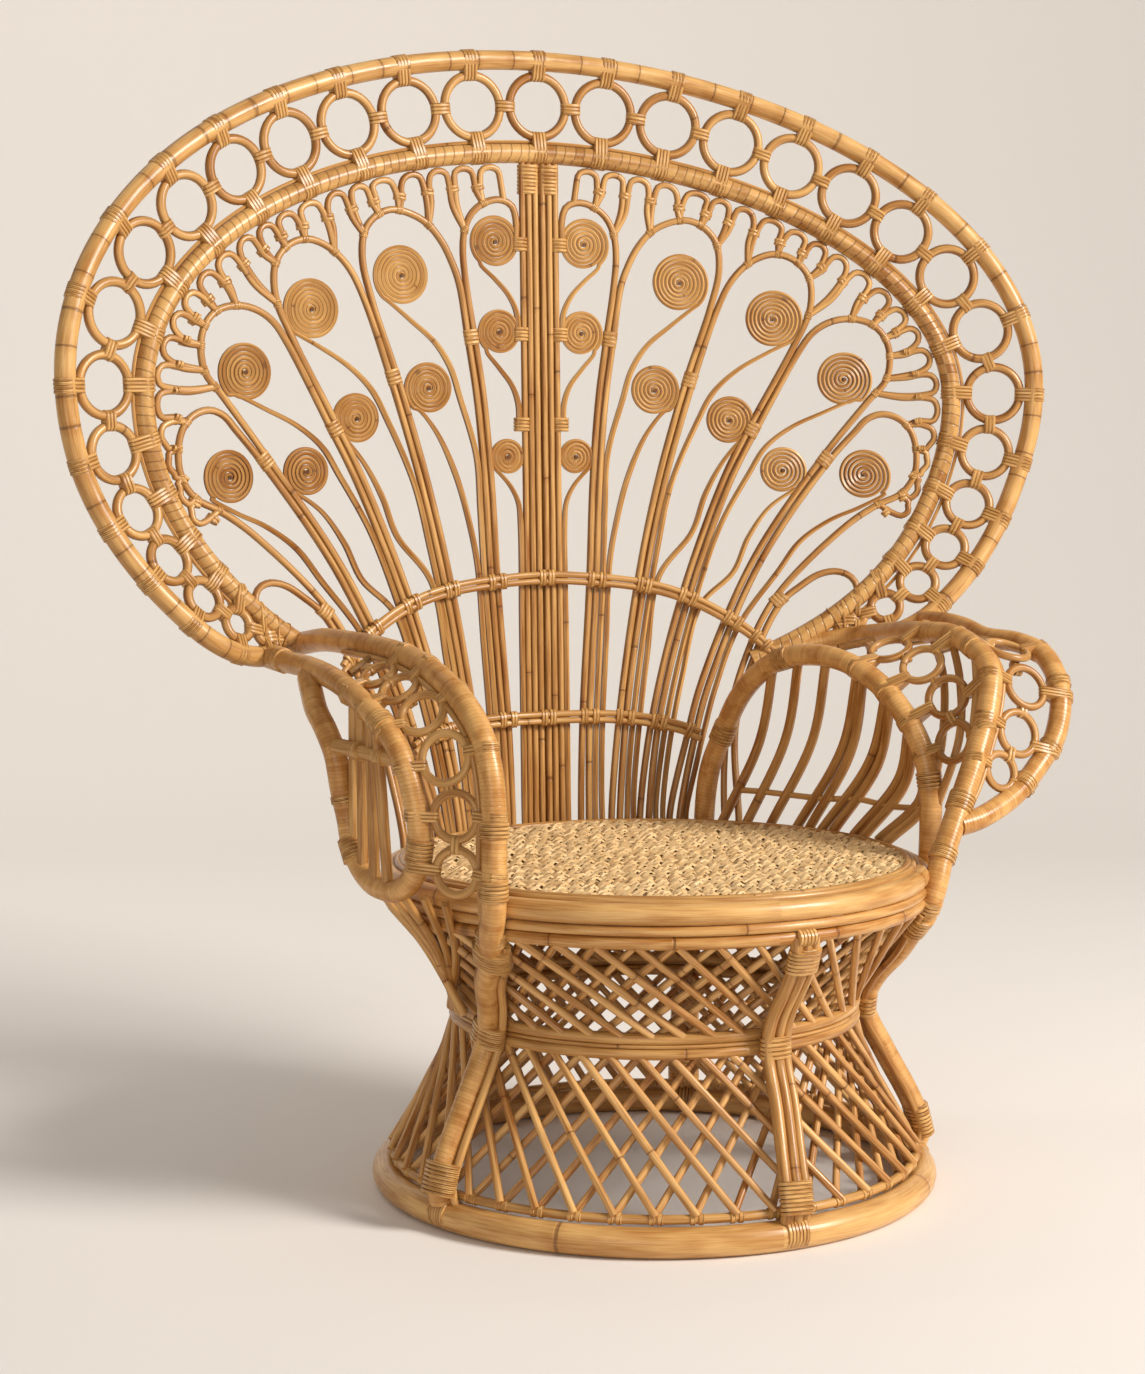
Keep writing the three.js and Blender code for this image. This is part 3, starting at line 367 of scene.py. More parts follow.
binding_strip = lacquer(
    "binding strip", strip_winding, (0.70, 0.405, 0.138), (0.32, 0.115, 0.014),
    {"Strip width": 1.0, "Shading": 0.35, "Edge shadow": 0.7, "Uneven": 0.0}, 0.0016,
)
slim_cane = lacquer(
    "slim cane", cane_grain, (0.66, 0.375, 0.124), (0.27, 0.088, 0.009),
    {"Joint spacing": 0.43, "Fibres": 4.0}, 0.0008,
)
fit_hoop("FootRail", RAIL_RADIUS, RAIL_HEIGHT, RAIL_CANE, slim_cane, "foot_rail")
rail_bindings = bmesh.new()
for k in range(LATTICE_CANES):
    foot = 360 * k / LATTICE_CANES
    tangent = on_drum(1, foot + 90, 0)
    for nudge in (-RAIL_NUDGE, RAIL_NUDGE):
        place = on_drum(RAIL_RADIUS, foot + nudge, RAIL_HEIGHT)
        bind(rail_bindings, place, tangent, UP, *RAIL_BINDING)
fit("RailBindings", rail_bindings, binding_strip, "wrapped_rattan")

# Waist hoops: a pair of canes laid one on the other round the narrow middle of the drum,
# with a thin filler cane outside their seam. Posts and lattice are tied to them.
WAIST_RADIUS = 236
WAIST_HEIGHT = 206
WAIST_CANE = 6.9
WAIST_OUT = 3
WAIST_RISE = 2 * WAIST_CANE + 3.2
FILLER_CANE = 2.4
FILLER_OUT = 6
for name, node, z in (
    ("WaistHoopLower", "waist_hoop_lower", WAIST_HEIGHT),
    ("WaistHoopUpper", "waist_hoop_upper", WAIST_HEIGHT + WAIST_RISE),
):
    fit_hoop(name, WAIST_RADIUS + WAIST_OUT, z, WAIST_CANE, slim_cane, node, roundness=3, count=96)
seam = WAIST_HEIGHT + WAIST_RISE / 2
fit_hoop("WaistFiller", WAIST_RADIUS + FILLER_OUT, seam, FILLER_CANE, slim_cane, count=96)

# Seat support hoop: the cane ring on which the posts end and the seat frame rests.
# It is left bare, so its growth joints and small scars show.
SUPPORT_RADIUS = 315
SUPPORT_HEIGHT = 345
SUPPORT_CANE = 7.7
jointed_cane = lacquer(
    "jointed cane", cane_grain, (0.76, 0.46, 0.17), (0.35, 0.12, 0.012),
    {"Joint spacing": 0.13, "Fibres": 5.0}, 0.0016,
)
fit_hoop(
    "SeatSupportHoop", SUPPORT_RADIUS, SUPPORT_HEIGHT, SUPPORT_CANE, jointed_cane, "seat_support_hoop",
    roundness=3,
)

# Lattices: two layers of slim canes that lean opposite ways and meet in pairs at each end.
# The lower one fills the drum below the waist and the upper one above it; both are tied, not glued.
LATTICE_CANE = 4.6
LATTICE_LAYER = 4.7
LATTICE_LEAN = 3.5 * 360 / LATTICE_CANES
lattice_cane = lacquer(
    "lattice cane", cane_grain, (0.80, 0.475, 0.175), (0.30, 0.095, 0.010),
    {"Joint spacing": 0.27, "Fibres": 3.5}, 0.0008,
)

def even(line, step):
    """A line cut again into even steps of about the given length."""
    lengths = [0.0]
    for a, b in zip(line, line[1:]):
        lengths.append(lengths[-1] + (b - a).length)
    count = max(1, round(lengths[-1] / step))
    places = []
    k = 0
    for cut in range(count + 1):
        wanted = lengths[-1] * cut / count
        while k < len(line) - 2 and lengths[k + 1] < wanted:
            k += 1
        span = lengths[k + 1] - lengths[k]
        places.append(line[k].lerp(line[k + 1], (wanted - lengths[k]) / span if span else 0))
    return places

for name, node, bottom, top in (
    ("LowerLattice", "lower_lattice", (RAIL_RADIUS, 44), (WAIST_RADIUS - 1, 203)),
    ("UpperLattice", "upper_lattice", (WAIST_RADIUS - 1, 223), (SUPPORT_RADIUS - 3, 341)),
):
    lattice = bmesh.new()
    for k in range(LATTICE_CANES):
        foot = 360 * k / LATTICE_CANES
        for side in (1, -1):
            low_end = on_drum(bottom[0] + side * LATTICE_LAYER, foot, bottom[1])
            high_end = on_drum(top[0] + side * LATTICE_LAYER, foot - side * LATTICE_LEAN, top[1])
            middle = low_end.lerp(high_end, 0.5) + Vector([chance.uniform(-1.2, 1.2) for _ in range(3)])
            line = even([low_end, middle, high_end], 22)
            lay_cane(lattice, line, LATTICE_CANE * chance.uniform(0.92, 1.06))
    fit(name, lattice, lattice_cane, "dark_cane", node)

# Posts: under each arm a stout wound pole with a slim cane on both sides, elsewhere three canes abreast.
# They run from the floor hoop in to the waist and out to the seat, and are bound at each of the three.
POST_POLE = 13.8
POST_BUNDLE = ((-10.6, 7.4), (2.9, 6.4), (14, 5.4))
BUNDLE_ASIDE = 0.8
SIDE_CANE = 4.8
SIDE_CANE_PLACES = (-18.4, 18.4)
SIDE_CANE_IN = 4
ARM_CUFFS = ((61, 37, 25, 15.6), (212, 25, 24.6, 15.6), (321, 28, 24, 16), (341, 14, 19, 16))
BARE_CUFFS = ((61, 37, 21, 11.5), (212, 25, 20.4, 11), (320, 28, 21, 11))
POST_STOPS = (
    (327, 33, 0), (331, 52, 0), (318, 86, 0.1), (282, 150, 0.7), (258, 197, 1), (257, 220, 1.08),
    (267, 247, 1.26), (290, 279, 1.53),
)
ARM_POST_TOP = ((307, 310, 1.81), (322, 333, 1.95), (329, 351, 2))
BARE_POST_TOP = ((310, 308, 1.8), (318, 329, 1.95), (318, 345, 2))
POSTS = (
    ("FrontPost", "front_post", 3.2, 7, 6),
    ("RightPost", "right_post", 75.4, 73, 56),
    ("LeftPost", "left_post", -71.6, -73, -58),
    ("BackRightPost", "back_right_post", 148, 146, 144),
    ("BackLeftPost", "back_left_post", -148, -146, -144),
)

def spline(stops, cuts):
    """A smooth line through stops, with the same number of cuts between each two."""
    ends = [stops[0] * 2 - stops[1], *stops, stops[-1] * 2 - stops[-2]]
    line = []
    for a, b, c, d in zip(ends, ends[1:], ends[2:], ends[3:]):
        first, middle, last = ((q - p).length ** 0.5 for p, q in ((a, b), (b, c), (c, d)))
        out = ((b - a) / first - (c - a) / (first + middle) + (c - b) / middle) * middle
        back = ((c - b) / middle - (d - b) / (middle + last) + (d - c) / last) * middle
        line += interpolate_bezier(b, b + out / 3, c - back / 3, c, cuts + 1)[:-1]
    return [*line, stops[-1]]

def smooth(stops, step):
    """A smooth line through stops, cut into even steps."""
    return even(spline(stops, 14), step)

def spot_on(line, axis, value):
    """The place on a line that is nearest to a value of one axis, and the line's direction there."""
    k = min(range(1, len(line) - 1), key=lambda i: abs(line[i][axis] - value))
    return line[k], line[k + 1] - line[k - 1]

def post_line(top, floor, waist, seat, sideways=0.0, outwards=0.0):
    """The line of a post, or of a cane beside it by some millimetres."""
    stops = []
    for radius, z, stage in POST_STOPS + top:
        low_share = min(stage, 1)
        angle = floor + (waist - floor) * low_share
        angle += (seat - angle) * max(stage - 1, 0)
        angle += math.degrees(sideways / radius)
        stops.append(on_drum(radius + outwards, angle, z))
    return smooth(stops, 9)

wound_pole = lacquer(
    "wound pole", strip_winding, (0.725, 0.405, 0.135), (0.36, 0.125, 0.014),
    {"Strip width": 0.0045, "Shading": 0.3, "Edge shadow": 0.26, "Uneven": 2.0}, 0.0004,
)
post_bindings = bmesh.new()
side_canes = bmesh.new()
for name, node, *angles in POSTS:
    floor, _, seat = angles
    under_arm = name in ("RightPost", "LeftPost")
    top = ARM_POST_TOP if under_arm else BARE_POST_TOP
    middle_line = post_line(top, *angles)
    if under_arm:
        fit_cane(name, middle_line, POST_POLE, wound_pole, "wrapped_rattan", node, roundness=4)
        for sideways in SIDE_CANE_PLACES:
            lay_cane(side_canes, post_line(top[:-1], *angles, sideways, -SIDE_CANE_IN), SIDE_CANE)
    else:
        post = bmesh.new()
        for sideways, thickness in POST_BUNDLE:
            lay_cane(post, post_line(top, *angles, sideways), thickness)
        fit(name, post, slim_cane, "rattan", node)
    for z, length, wide, deep in ARM_CUFFS if under_arm else BARE_CUFFS:
        place, direction = spot_on(middle_line, 2, z)
        outward = Vector((place.x, place.y, 0)).normalized()
        sidewards = outward.cross(UP)
        aside = sidewards * (0 if under_arm else BUNDLE_ASIDE)
        bind(post_bindings, place - outward - aside, direction, sidewards, length, wide, deep)
    if not under_arm:
        hoop_place = on_drum(SUPPORT_RADIUS + 3, seat, SUPPORT_HEIGHT - 0.5)
        tangent = on_drum(1, seat + 90, 0)
        bind(post_bindings, hoop_place, tangent, UP, 23, SUPPORT_CANE + 2.6, SUPPORT_CANE + 3.6)
    strap = on_drum(FLOOR_RADIUS, floor, FLOOR_POLE + 1.9)
    bind(post_bindings, strap, on_drum(1, floor + 90, 0), UP, 26, 18.4, 18.8)
fit("PostSideCanes", side_canes, slim_cane, "rattan")
fit("PostBindings", post_bindings, binding_strip, "wrapped_rattan")

# Seat rim: a thick hoop with a thinner one under it, pinned together as the seat's frame.
# A flat bead covers the cut ends of the weave along the inner edge.
RIM_RADIUS = 314
RIM_HEIGHT = 375.7
RIM_CANE = 12.4
LOWER_RIM_RADIUS = 318
LOWER_RIM_HEIGHT = 358.1
LOWER_RIM_CANE = 6
BEAD_CANE = 4.4
BEAD_RINGS = ((305.5, 387.6), (299.8, 389.6))
fit_hoop("SeatRimUpper", RIM_RADIUS, RIM_HEIGHT, RIM_CANE, thick_pole, "seat_rim_upper", roundness=4)
fit_hoop("SeatRimLower", LOWER_RIM_RADIUS, LOWER_RIM_HEIGHT, LOWER_RIM_CANE, thick_pole, "seat_rim_lower")
bead = [level_ring(radius, z) for radius, z in BEAD_RINGS]
fit_canes("SeatBead", bead, BEAD_CANE, slim_cane, "rattan", "seat_bead", closed=True)

# Woven seat: wavy pale strands that run from side to side and open into small lens-shaped holes,
# laced over a ground of close strands in a much darker copy of the straw, painted shade for the holes.
# Crossed bearers under it carry the weight.
SEAT_TOP = 390
SEAT_RADIUS = 297
STRAND_PITCH = 7.1
STRAND_WAVE = 19
STRAND_ROWS = 41
STRAND_CANE = 3.9
STRAND_FLAT = 0.45
GROUND_ROWS = 48
GROUND_PITCH = 6
GROUND_HEIGHT = 381
GROUND_CANE = 3.4
BEARER_REACH = 309
BEARER_CANE = 5.2
straw_strand = lacquer(
    "straw strand", cane_grain, (0.84, 0.62, 0.335), (0.61, 0.37, 0.15),
    {"Joint spacing": 0.9, "Fibres": 2.0}, 0.0012,
)
# Painted shade: the ground is the straw finish made much darker, for the shade seen through the holes.
shaded_straw_ground = lacquer(
    "shaded straw ground", cane_grain, (0.30, 0.15, 0.05), (0.15, 0.065, 0.02),
    {"Joint spacing": 0.9, "Fibres": 2.0}, 0.0012,
)
for straw in (straw_strand, shaded_straw_ground):
    straw_shader = straw.node_tree.nodes["Principled BSDF"]
    straw_shader.inputs["Specular IOR Level"].default_value = 0.15
    straw_shader.inputs["Coat Weight"].default_value = 0.0
strands = bmesh.new()
for row in range(-STRAND_ROWS, STRAND_ROWS + 1):
    y = row * STRAND_PITCH
    reach = math.sqrt(SEAT_RADIUS ** 2 - y ** 2)
    count = max(3, int(2 * reach / 4))
    strand = []
    for k in range(count + 1):
        x = -reach + 2 * reach * k / count
        swing = 2 * math.pi * x / STRAND_WAVE + math.pi * row
        swing += 1.3 * math.sin(x / 37 + row * 2.1) + 0.8 * math.sin(x / 71 + row * 5.3)
        height = SEAT_TOP - 3 + 6 * math.sin(swing + 1.2) + 2.5 * math.sin(x / 23 + row * 1.7)
        strand.append(Vector((x, y + 2.2 * math.sin(swing), height)))
    lay_cane(strands, strand, STRAND_CANE * chance.uniform(0.85, 1.12), roundness=0)
flatten = Matrix.Translation((0, 0, -SEAT_TOP / 1000))
bmesh.ops.scale(strands, verts=strands.verts, vec=(1, 1, STRAND_FLAT), space=flatten)
fit("SeatStrands", strands, straw_strand, "woven_straw")
ground = []
for row in range(-GROUND_ROWS, GROUND_ROWS + 1):
    x = GROUND_PITCH * row
    reach = math.sqrt(SEAT_RADIUS ** 2 - x ** 2)
    ground.append([Vector((x, y, GROUND_HEIGHT)) for y in (-reach, 0, reach)])
fit_canes("SeatGround", ground, GROUND_CANE, shaded_straw_ground, "woven_straw", "woven_seat", roundness=1)
bearers = []
for angle in (45, 135):
    ends = [on_drum(BEARER_REACH, bearing, LOWER_RIM_HEIGHT) for bearing in (angle, angle + 180)]
    bearers.append(even(ends, 40))
fit_canes("SeatBearers", bearers, BEARER_CANE, lattice_cane, "dark_cane", "seat_bearers")

# Fan hoops: two long poles bent into the outline of the fan. The outer one is mostly bare pole,
# and the inner one is wound with strip; a thin trim cane runs along the inner one's outer side.
FAN_BACK = 335.8
FAN_LEAN = 0.03
FAN_BOW = 0.355e-3
FAN_BOW_LOW = 1.15e-3
FAN_BOW_TOP = 880
HOOP_POLE = 12.6
OUTER_HOOP = {"half": 653, "middle": 957, "up": 414, "down": 460, "end": 131}
OUTER_END = ((462, 637), (428, 627), (392, 625))
INNER_HOOP = {"half": 551, "middle": 940, "up": 313, "down": 397, "end": 140}
INNER_END = (141, 144, 147, 150)
FAN_STEP = 11
FAN_TRIM = 2.3
FAN_TRIM_OUT = 14.6

def on_fan(x, z, out=0.0):
    """A place on the fan's bowed sheet, or in front of it."""
    low_share = min(max((FAN_BOW_TOP - z) / (FAN_BOW_TOP - SEAT_TOP), 0), 1)
    bow = FAN_BOW + FAN_BOW_LOW * low_share ** 2
    return Vector((x, FAN_BACK + FAN_LEAN * (z - SEAT_TOP) - bow * x * x - out, z))

def fan_spot(hoop, angle, inset=0.0):
    """The place of a fan hoop at an angle from its top, or of a line inside it."""
    turn = math.radians(angle)
    rise = hoop["up"] if math.cos(turn) > 0 else hoop["down"]
    normal = Vector((math.sin(turn) * rise, math.cos(turn) * hoop["half"])).normalized()
    x = hoop["half"] * math.sin(turn) - inset * normal.x
    return on_fan(x, hoop["middle"] + rise * math.cos(turn) - inset * normal.y)

def flip(vector, side):
    """A place or direction of the chair's right side, on the side that is asked for."""
    return Vector((side * vector.x, vector.y, vector.z))

def on_side(line, side):
    """A line of the chair's right side, on the side that is asked for."""
    return [flip(place, side) for place in line]

def hoop_line(hoop, end=(), inset=0.0):
    """The whole line of a fan hoop from its left end over the top to its right end."""
    half = [fan_spot(hoop, hoop["end"] * k / 60, inset) for k in range(61)]
    half += [on_fan(x, z) for x, z in end]
    return smooth(on_side(half[:0:-1], -1) + half, FAN_STEP)

outer_pole = lacquer(
    "outer pole", cane_grain, (0.74, 0.44, 0.158), (0.33, 0.115, 0.013),
    {"Joint spacing": 0.047, "Fibres": 6.0}, 0.001,
)
inner_winding = lacquer(
    "inner winding", strip_winding, (0.69, 0.40, 0.138), (0.25, 0.08, 0.007),
    {"Strip width": 0.013, "Shading": 0.4, "Edge shadow": 0.5, "Uneven": 2.0}, 0.001,
)
outer_line = hoop_line(OUTER_HOOP, OUTER_END)
fit_cane("FanOuterHoop", outer_line, HOOP_POLE, outer_pole, "wrapped_rattan", "fan_outer_hoop", roundness=4)
inner_end = [fan_spot(INNER_HOOP, angle) for angle in INNER_END]
inner = hoop_line(INNER_HOOP) + smooth(inner_end, FAN_STEP)
fit_cane("FanInnerHoop", inner, HOOP_POLE, inner_winding, "wrapped_rattan", "fan_inner_hoop", roundness=4)
trim_end = [fan_spot(INNER_HOOP, angle, -FAN_TRIM_OUT) for angle in INNER_END]
trim_line = hoop_line(INNER_HOOP, inset=-FAN_TRIM_OUT) + smooth(trim_end, FAN_STEP)
fit_cane("FanTrim", trim_line, FAN_TRIM, slim_cane, "rattan", roundness=1)

# Fan rings: bent cane rings set edge to edge between the two hoops, largest at the top.
# Each is bound to both hoops and to its neighbours with a few turns of strip.
RING_CANE = 6
RING_MARGIN = 14.2
RING_SHIFT = 1.2
RING_LAST = 138

def ring_chain(strip, margin, largest, shift, start):
    """Rings set one against the next along a strip, as centre, direction across, direction on, radius."""
    def spot(share):
        inner_edge, outer_edge = strip(share)
        across = outer_edge - inner_edge
        centre = (inner_edge + outer_edge) / 2 + across.normalized() * shift
        return centre, across, min(across.length / 2 - margin, largest)

    rings = []
    probe = 0.0005
    share = start
    while share <= 1:
        centre, across, radius = spot(share)
        if not rings or (centre - rings[-1][0]).length >= radius + rings[-1][3]:
            on = spot(min(share + probe, 1))[0] - spot(max(share - probe, 0))[0]
            first = across.normalized()
            rings.append((centre, first, (on - on.project(first)).normalized(), radius))
        share += probe
    return rings

def lay_ring(piece, ring, thickness):
    """Adds one bent ring of cane."""
    centre, across, on, radius = ring
    line = []
    for k in range(40):
        turn = 2 * math.pi * k / 40
        line.append(centre + (across * math.cos(turn) + on * math.sin(turn)) * (radius - thickness))
    lay_cane(piece, line, thickness, closed=True)

def tie_rings(piece, rings, cane, length, slack):
    """Lashes each ring of a chain to the next."""
    for (centre, across, _, radius), (beyond, _, _, other) in zip(rings, rings[1:]):
        towards = (beyond - centre).normalized()
        first, second = centre + towards * (radius - cane), beyond - towards * (other - cane)
        lash(piece, first, second, across, length, cane + slack, cane + slack)

outer_places = [fan_spot(OUTER_HOOP, OUTER_HOOP["end"] * k / 399) for k in range(400)]
outer_places += smooth([outer_places[-1], *(on_fan(x, z) for x, z in OUTER_END)], 3)
outer_array = np.array(outer_places)

def between_hoops(share):
    """A place on the inner hoop and the nearest one on the outer hoop."""
    inner_place = fan_spot(INNER_HOOP, RING_LAST * share)
    nearest = np.argmin(((outer_array - np.array(inner_place)) ** 2).sum(1))
    return inner_place, outer_places[nearest]

# The fan canes carry some painted groove shade on their sides.
fan_cane = lacquer(
    "fan cane", cane_grain, (0.69, 0.395, 0.133), (0.28, 0.09, 0.009),
    {"Joint spacing": 0.43, "Fibres": 4.0, "Groove shade": 0.4}, 0.0008,
)
right_rings = ring_chain(between_hoops, RING_MARGIN, 1000, RING_SHIFT, 0)
fan_rings = bmesh.new()
ring_bindings = bmesh.new()
for side in (1, -1):
    chain = [(*on_side(axes, side), radius) for *axes, radius in right_rings]
    for k, (centre, across, on, radius) in enumerate(chain):
        if side == -1 and k == 0:
            continue
        lay_ring(fan_rings, (centre, across, on, radius), RING_CANE)
        for way in (1, -1):
            pole_place = centre + across * way * (radius + RING_MARGIN - way * RING_SHIFT)
            ring_place = centre + across * way * (radius - RING_CANE)
            length = min(18, radius * 0.55)
            lash(ring_bindings, pole_place, ring_place, on, length, HOOP_POLE + 1.4, RING_CANE + 1.2)
    tie_rings(ring_bindings, chain, RING_CANE, 14, 0.8)
fit("FanRings", fan_rings, fan_cane, "rattan", "fan_rings")
fit("FanRingBindings", ring_bindings, binding_strip, "wrapped_rattan")

# Centre column: six straight canes side by side from the seat to the inner hoop, with slim canes
# behind the gaps between them. Each half is bound at the top and beside the scrolls.
COLUMN_CANE = 4.4
COLUMN_PLACES = (-23, -14.1, -5.2, 5.2, 14.1, 23)
COLUMN_FILLER = 4
COLUMN_FILLER_PLACES = (-18.6, -9.7, 0, 9.7, 18.6)
COLUMN_FOOT = 352
column = bmesh.new()
for x in COLUMN_PLACES:
    lay_cane(column, even([on_fan(x, z) for z in (COLUMN_FOOT, 700, 1241)], 30), COLUMN_CANE)
for x in COLUMN_FILLER_PLACES:
    lay_cane(column, even([on_fan(x, z, -6) for z in (COLUMN_FOOT, 700, 1236)], 30), COLUMN_FILLER)
fit("CentreColumn", column, fan_cane, "rattan", "centre_column")
column_bindings = bmesh.new()
for side in (-1, 1):
    bind(column_bindings, on_fan(side * 14.1, 1220, -2), UP, Vector((1, 0, 0)), 38, 14.4, 8.6)
    for z in (1137, 1022, 906):
        bind(column_bindings, on_fan(side * 27.6, z), UP, Vector((1, 0, 0)), 18, 11, 6.6)
fit("ColumnBindings", column_bindings, binding_strip, "wrapped_rattan")

# Hairpin arches: canes bent over at the top like a row of hoops, whose legs run down in shared
# bundles to the seat's rim. Neighbouring legs are tied together where they first meet.
RIB_CANE = 4.7
RIB_SPREAD = 4.7
RIB_FOOT = 352
SIDES = ((1, "Right"), (-1, "Left"))
RIBS = (
    ((108, 1085), (97, 1017), (85, 938), (76, 835), (69, 697), (57, 520), (53, 390), (53, 352)),
    ((240, 1058), (207, 965), (167, 834), (135, 696), (106, 519), (93, 390), (93, 352)),
    ((352, 1009), (291, 900), (256, 833), (193, 675), (149, 518), (129, 390), (129, 352)),
    ((450, 937), (388, 860), (292, 727), (216, 570), (191, 491), (165, 390), (165, 352)),
    ((456, 796), (412, 767), (315, 674), (272, 598), (242, 508), (228, 390), (228, 352)),
)
CROWNS = (
    (
        (32.8, 1130), (32.4, 1146), (31.8, 1166), (38, 1186), (55, 1193), (76, 1188), (94, 1174), (104, 1153),
        (107, 1127),
    ),
    ((123, 1112), (136, 1136), (156, 1158), (180, 1170), (206, 1174), (228, 1165), (244, 1146), (248, 1110)),
    ((262, 1092), (279, 1112), (300, 1126), (322, 1132), (342, 1128), (359, 1116), (370, 1096), (369, 1058)),
    ((372, 1028), (391, 1041), (412, 1047), (434, 1046), (452, 1039), (466, 1024), (473, 1000), (468, 966)),
    ((429, 899), (443, 914), (462, 921), (482, 916), (498, 901), (506, 876), (503, 840), (485, 815)),
    ((344, 692), (370, 708), (392, 712), (408, 706), (415, 693), (411, 676)),
)

def beside(line, shift):
    """A rib's line moved sideways in the fan, for one of the canes of its bundle."""
    moved = []
    for k, (x, z) in enumerate(line):
        x0, z0 = line[max(k - 1, 0)]
        x1, z1 = line[min(k + 1, len(line) - 1)]
        normal = Vector((z0 - z1, x1 - x0)).normalized()
        moved.append((x + shift * normal.x, z + shift * normal.y))
    return moved

def rib_place(x, z):
    """A place on a rib: in the fan's sheet, and against the seat's rim near its foot."""
    if z > SEAT_TOP:
        return on_fan(x, z)
    return Vector((x, math.sqrt((RIM_RADIUS + RIM_CANE + 1.5 + RIB_CANE) ** 2 - x * x), z))

arch_lines = []
for i, crown in enumerate(CROWNS):
    inner_leg = [p for p in beside(RIBS[i - 1], RIB_SPREAD) if p[1] < crown[0][1] - 9][::-1] if i else []
    outer_leg = beside(RIBS[i], -RIB_SPREAD) if i < len(RIBS) else []
    arch_lines.append([rib_place(x, z) for x, z in [*inner_leg, *crown, *outer_leg]])
for i, stops in enumerate(arch_lines):
    line = smooth(stops, 8)
    for side, word in SIDES:
        node = f"{word.lower()}_arch_{i + 1}"
        fit_cane(f"{word}Arch{i + 1}", on_side(line, side), RIB_CANE, fan_cane, "rattan", node)
arch_bindings = bmesh.new()
for rib in RIBS:
    knot = 2 if rib is RIBS[-1] else 1
    first, second = (beside(rib, shift)[knot] for shift in (RIB_SPREAD, -RIB_SPREAD))
    for side in (1, -1):
        direction = flip(on_fan(*rib[2]) - on_fan(*rib[0]), side)
        places = flip(on_fan(*first), side), flip(on_fan(*second), side)
        lash(arch_bindings, *places, direction, 20, RIB_CANE + 0.7, RIB_CANE + 0.7)
fit("ArchBindings", arch_bindings, binding_strip, "wrapped_rattan")

# Scrolls: a long cane coiled flat into a tight spiral, whose tail swings down in an S
# to join the bundle on the inner side of its bay, or runs beside the column down to the seat.
SCROLL_CANE = 2.8
SCROLL_TURN = 5.6
SCROLL_HEART = 0.5
SCROLL_EXIT = -50
BAYS = (
    (
        ((62, 1139), 36, ((82, 1109), (63, 1092), (44, 1072), (33, 1050), (31, 1024))),
        ((57, 1024), 31.5, ((75, 998), (58, 978), (40, 955), (32, 932), (31, 905))),
        (
            (47.5, 864), 26,
            ((58, 842), (44, 826), (34, 806), (31, 780), (31, 640), (31, 500), (31, 391), (31, 352)),
        ),
    ),
    (
        ((194, 1092), 40.5, ((216, 1062), (180, 1035), (148, 1009), (127, 978), (114, 939), 870)),
        ((158, 951), 35.5, ((172, 924), (146, 893), (121, 840), (104, 782), 735)),
    ),
    (
        ((320, 1046), 40.5, ((342, 1016), (309, 1000), (268, 976), (238, 948), (218, 913), 840)),
        ((260, 912), 34.5, ((276, 886), (250, 856), (226, 814), (207, 765), 715)),
    ),
    (
        ((413, 967), 38.5, ((428, 940), (384, 922), (343, 903), (309, 877), (286, 842), 780)),
        ((331, 846), 33.5, ((346, 820), (312, 797), (282, 757), (260, 712), 670)),
    ),
    (
        ((438, 840), 36, ((465, 815), (431, 797), (391, 780), (350, 752), (318, 712), 655)),
    ),
)

def coil(centre, radius):
    """The x and z of a flat spiral from its heart out to the place where its tail leaves."""
    reach = radius - SCROLL_CANE
    turns = math.ceil((reach - SCROLL_HEART) / SCROLL_TURN * 2) / 2
    count = round(24 * turns)
    places = []
    for k in range(count + 1):
        angle = math.radians(SCROLL_EXIT + 15 * (count - k))
        r = SCROLL_HEART + (reach - SCROLL_HEART) * k / count
        places.append((centre[0] + r * math.cos(angle), centre[1] + r * math.sin(angle)))
    return places

def down_rib(line, top):
    """The part of a rib's line from a height down to its foot, as a few places."""
    fine = [(place.x, place.y) for place in spline([Vector((x, z, 0)) for x, z in line], 10)]
    return [place for place in fine if RIB_FOOT <= place[1] <= top][::6]

# The scroll canes carry strong painted groove shade on the sides of each turn, between the turns of the coil.
scroll_cane = lacquer(
    "scroll cane", cane_grain, (0.67, 0.38, 0.122), (0.28, 0.09, 0.008),
    {"Joint spacing": 0.5, "Fibres": 3.0, "Groove shade": 0.8}, 0.0007,
)
for bay, scrolls in enumerate(BAYS):
    lines = []
    for order, (centre, radius, tail) in enumerate(scrolls):
        stops = list(tail)
        if not isinstance(stops[-1], tuple):
            joining = stops.pop()
            shift = (2.95 if order == 0 else 4.75) * RIB_SPREAD
            stops += down_rib(beside(RIBS[bay - 1], shift), joining)
        line = smooth([rib_place(x, z) for x, z in [*coil(centre, radius), *stops]], 3.2)
        leaving = centre[1] - radius
        lines.append((line, [1 + 0.45 * min(max((leaving - place.z) / 60, 0), 1) for place in line]))
    for side, word in SIDES:
        spray = bmesh.new()
        for line, growth in lines:
            lay_cane(spray, on_side(line, side), SCROLL_CANE, roundness=1, slim=growth)
        fit(f"{word}Scrolls{bay + 1}", spray, scroll_cane, "rattan", f"{word.lower()}_scrolls_{bay + 1}")

# Scroll hearts: a short dark plug through the middle of each spiral, painted shade for the hole at its heart.
# It stands a little out of the coil on both faces and needs no fixing.
HEART_RADIUS = 2.6
HEART_STANDS = 1.1
heart_shade_plug = lacquer(
    "heart shade plug", cane_grain, (0.17, 0.066, 0.017), (0.08, 0.027, 0.006),
    {"Joint spacing": 0.5, "Fibres": 3.0}, 0.0004,
)
# Painted shade: each plug fills the hole at a spiral's heart with near-black cane colour.
hearts = bmesh.new()
for centre, _, _ in (scroll for scrolls in BAYS for scroll in scrolls):
    for side in (1, -1):
        middle = flip(rib_place(*centre), side)
        through = Vector((0, SCROLL_CANE + HEART_STANDS, 0))
        lay_cane(hearts, [middle - through, middle, middle + through], HEART_RADIUS)
fit("ScrollHearts", hearts, heart_shade_plug, "dark_cane")

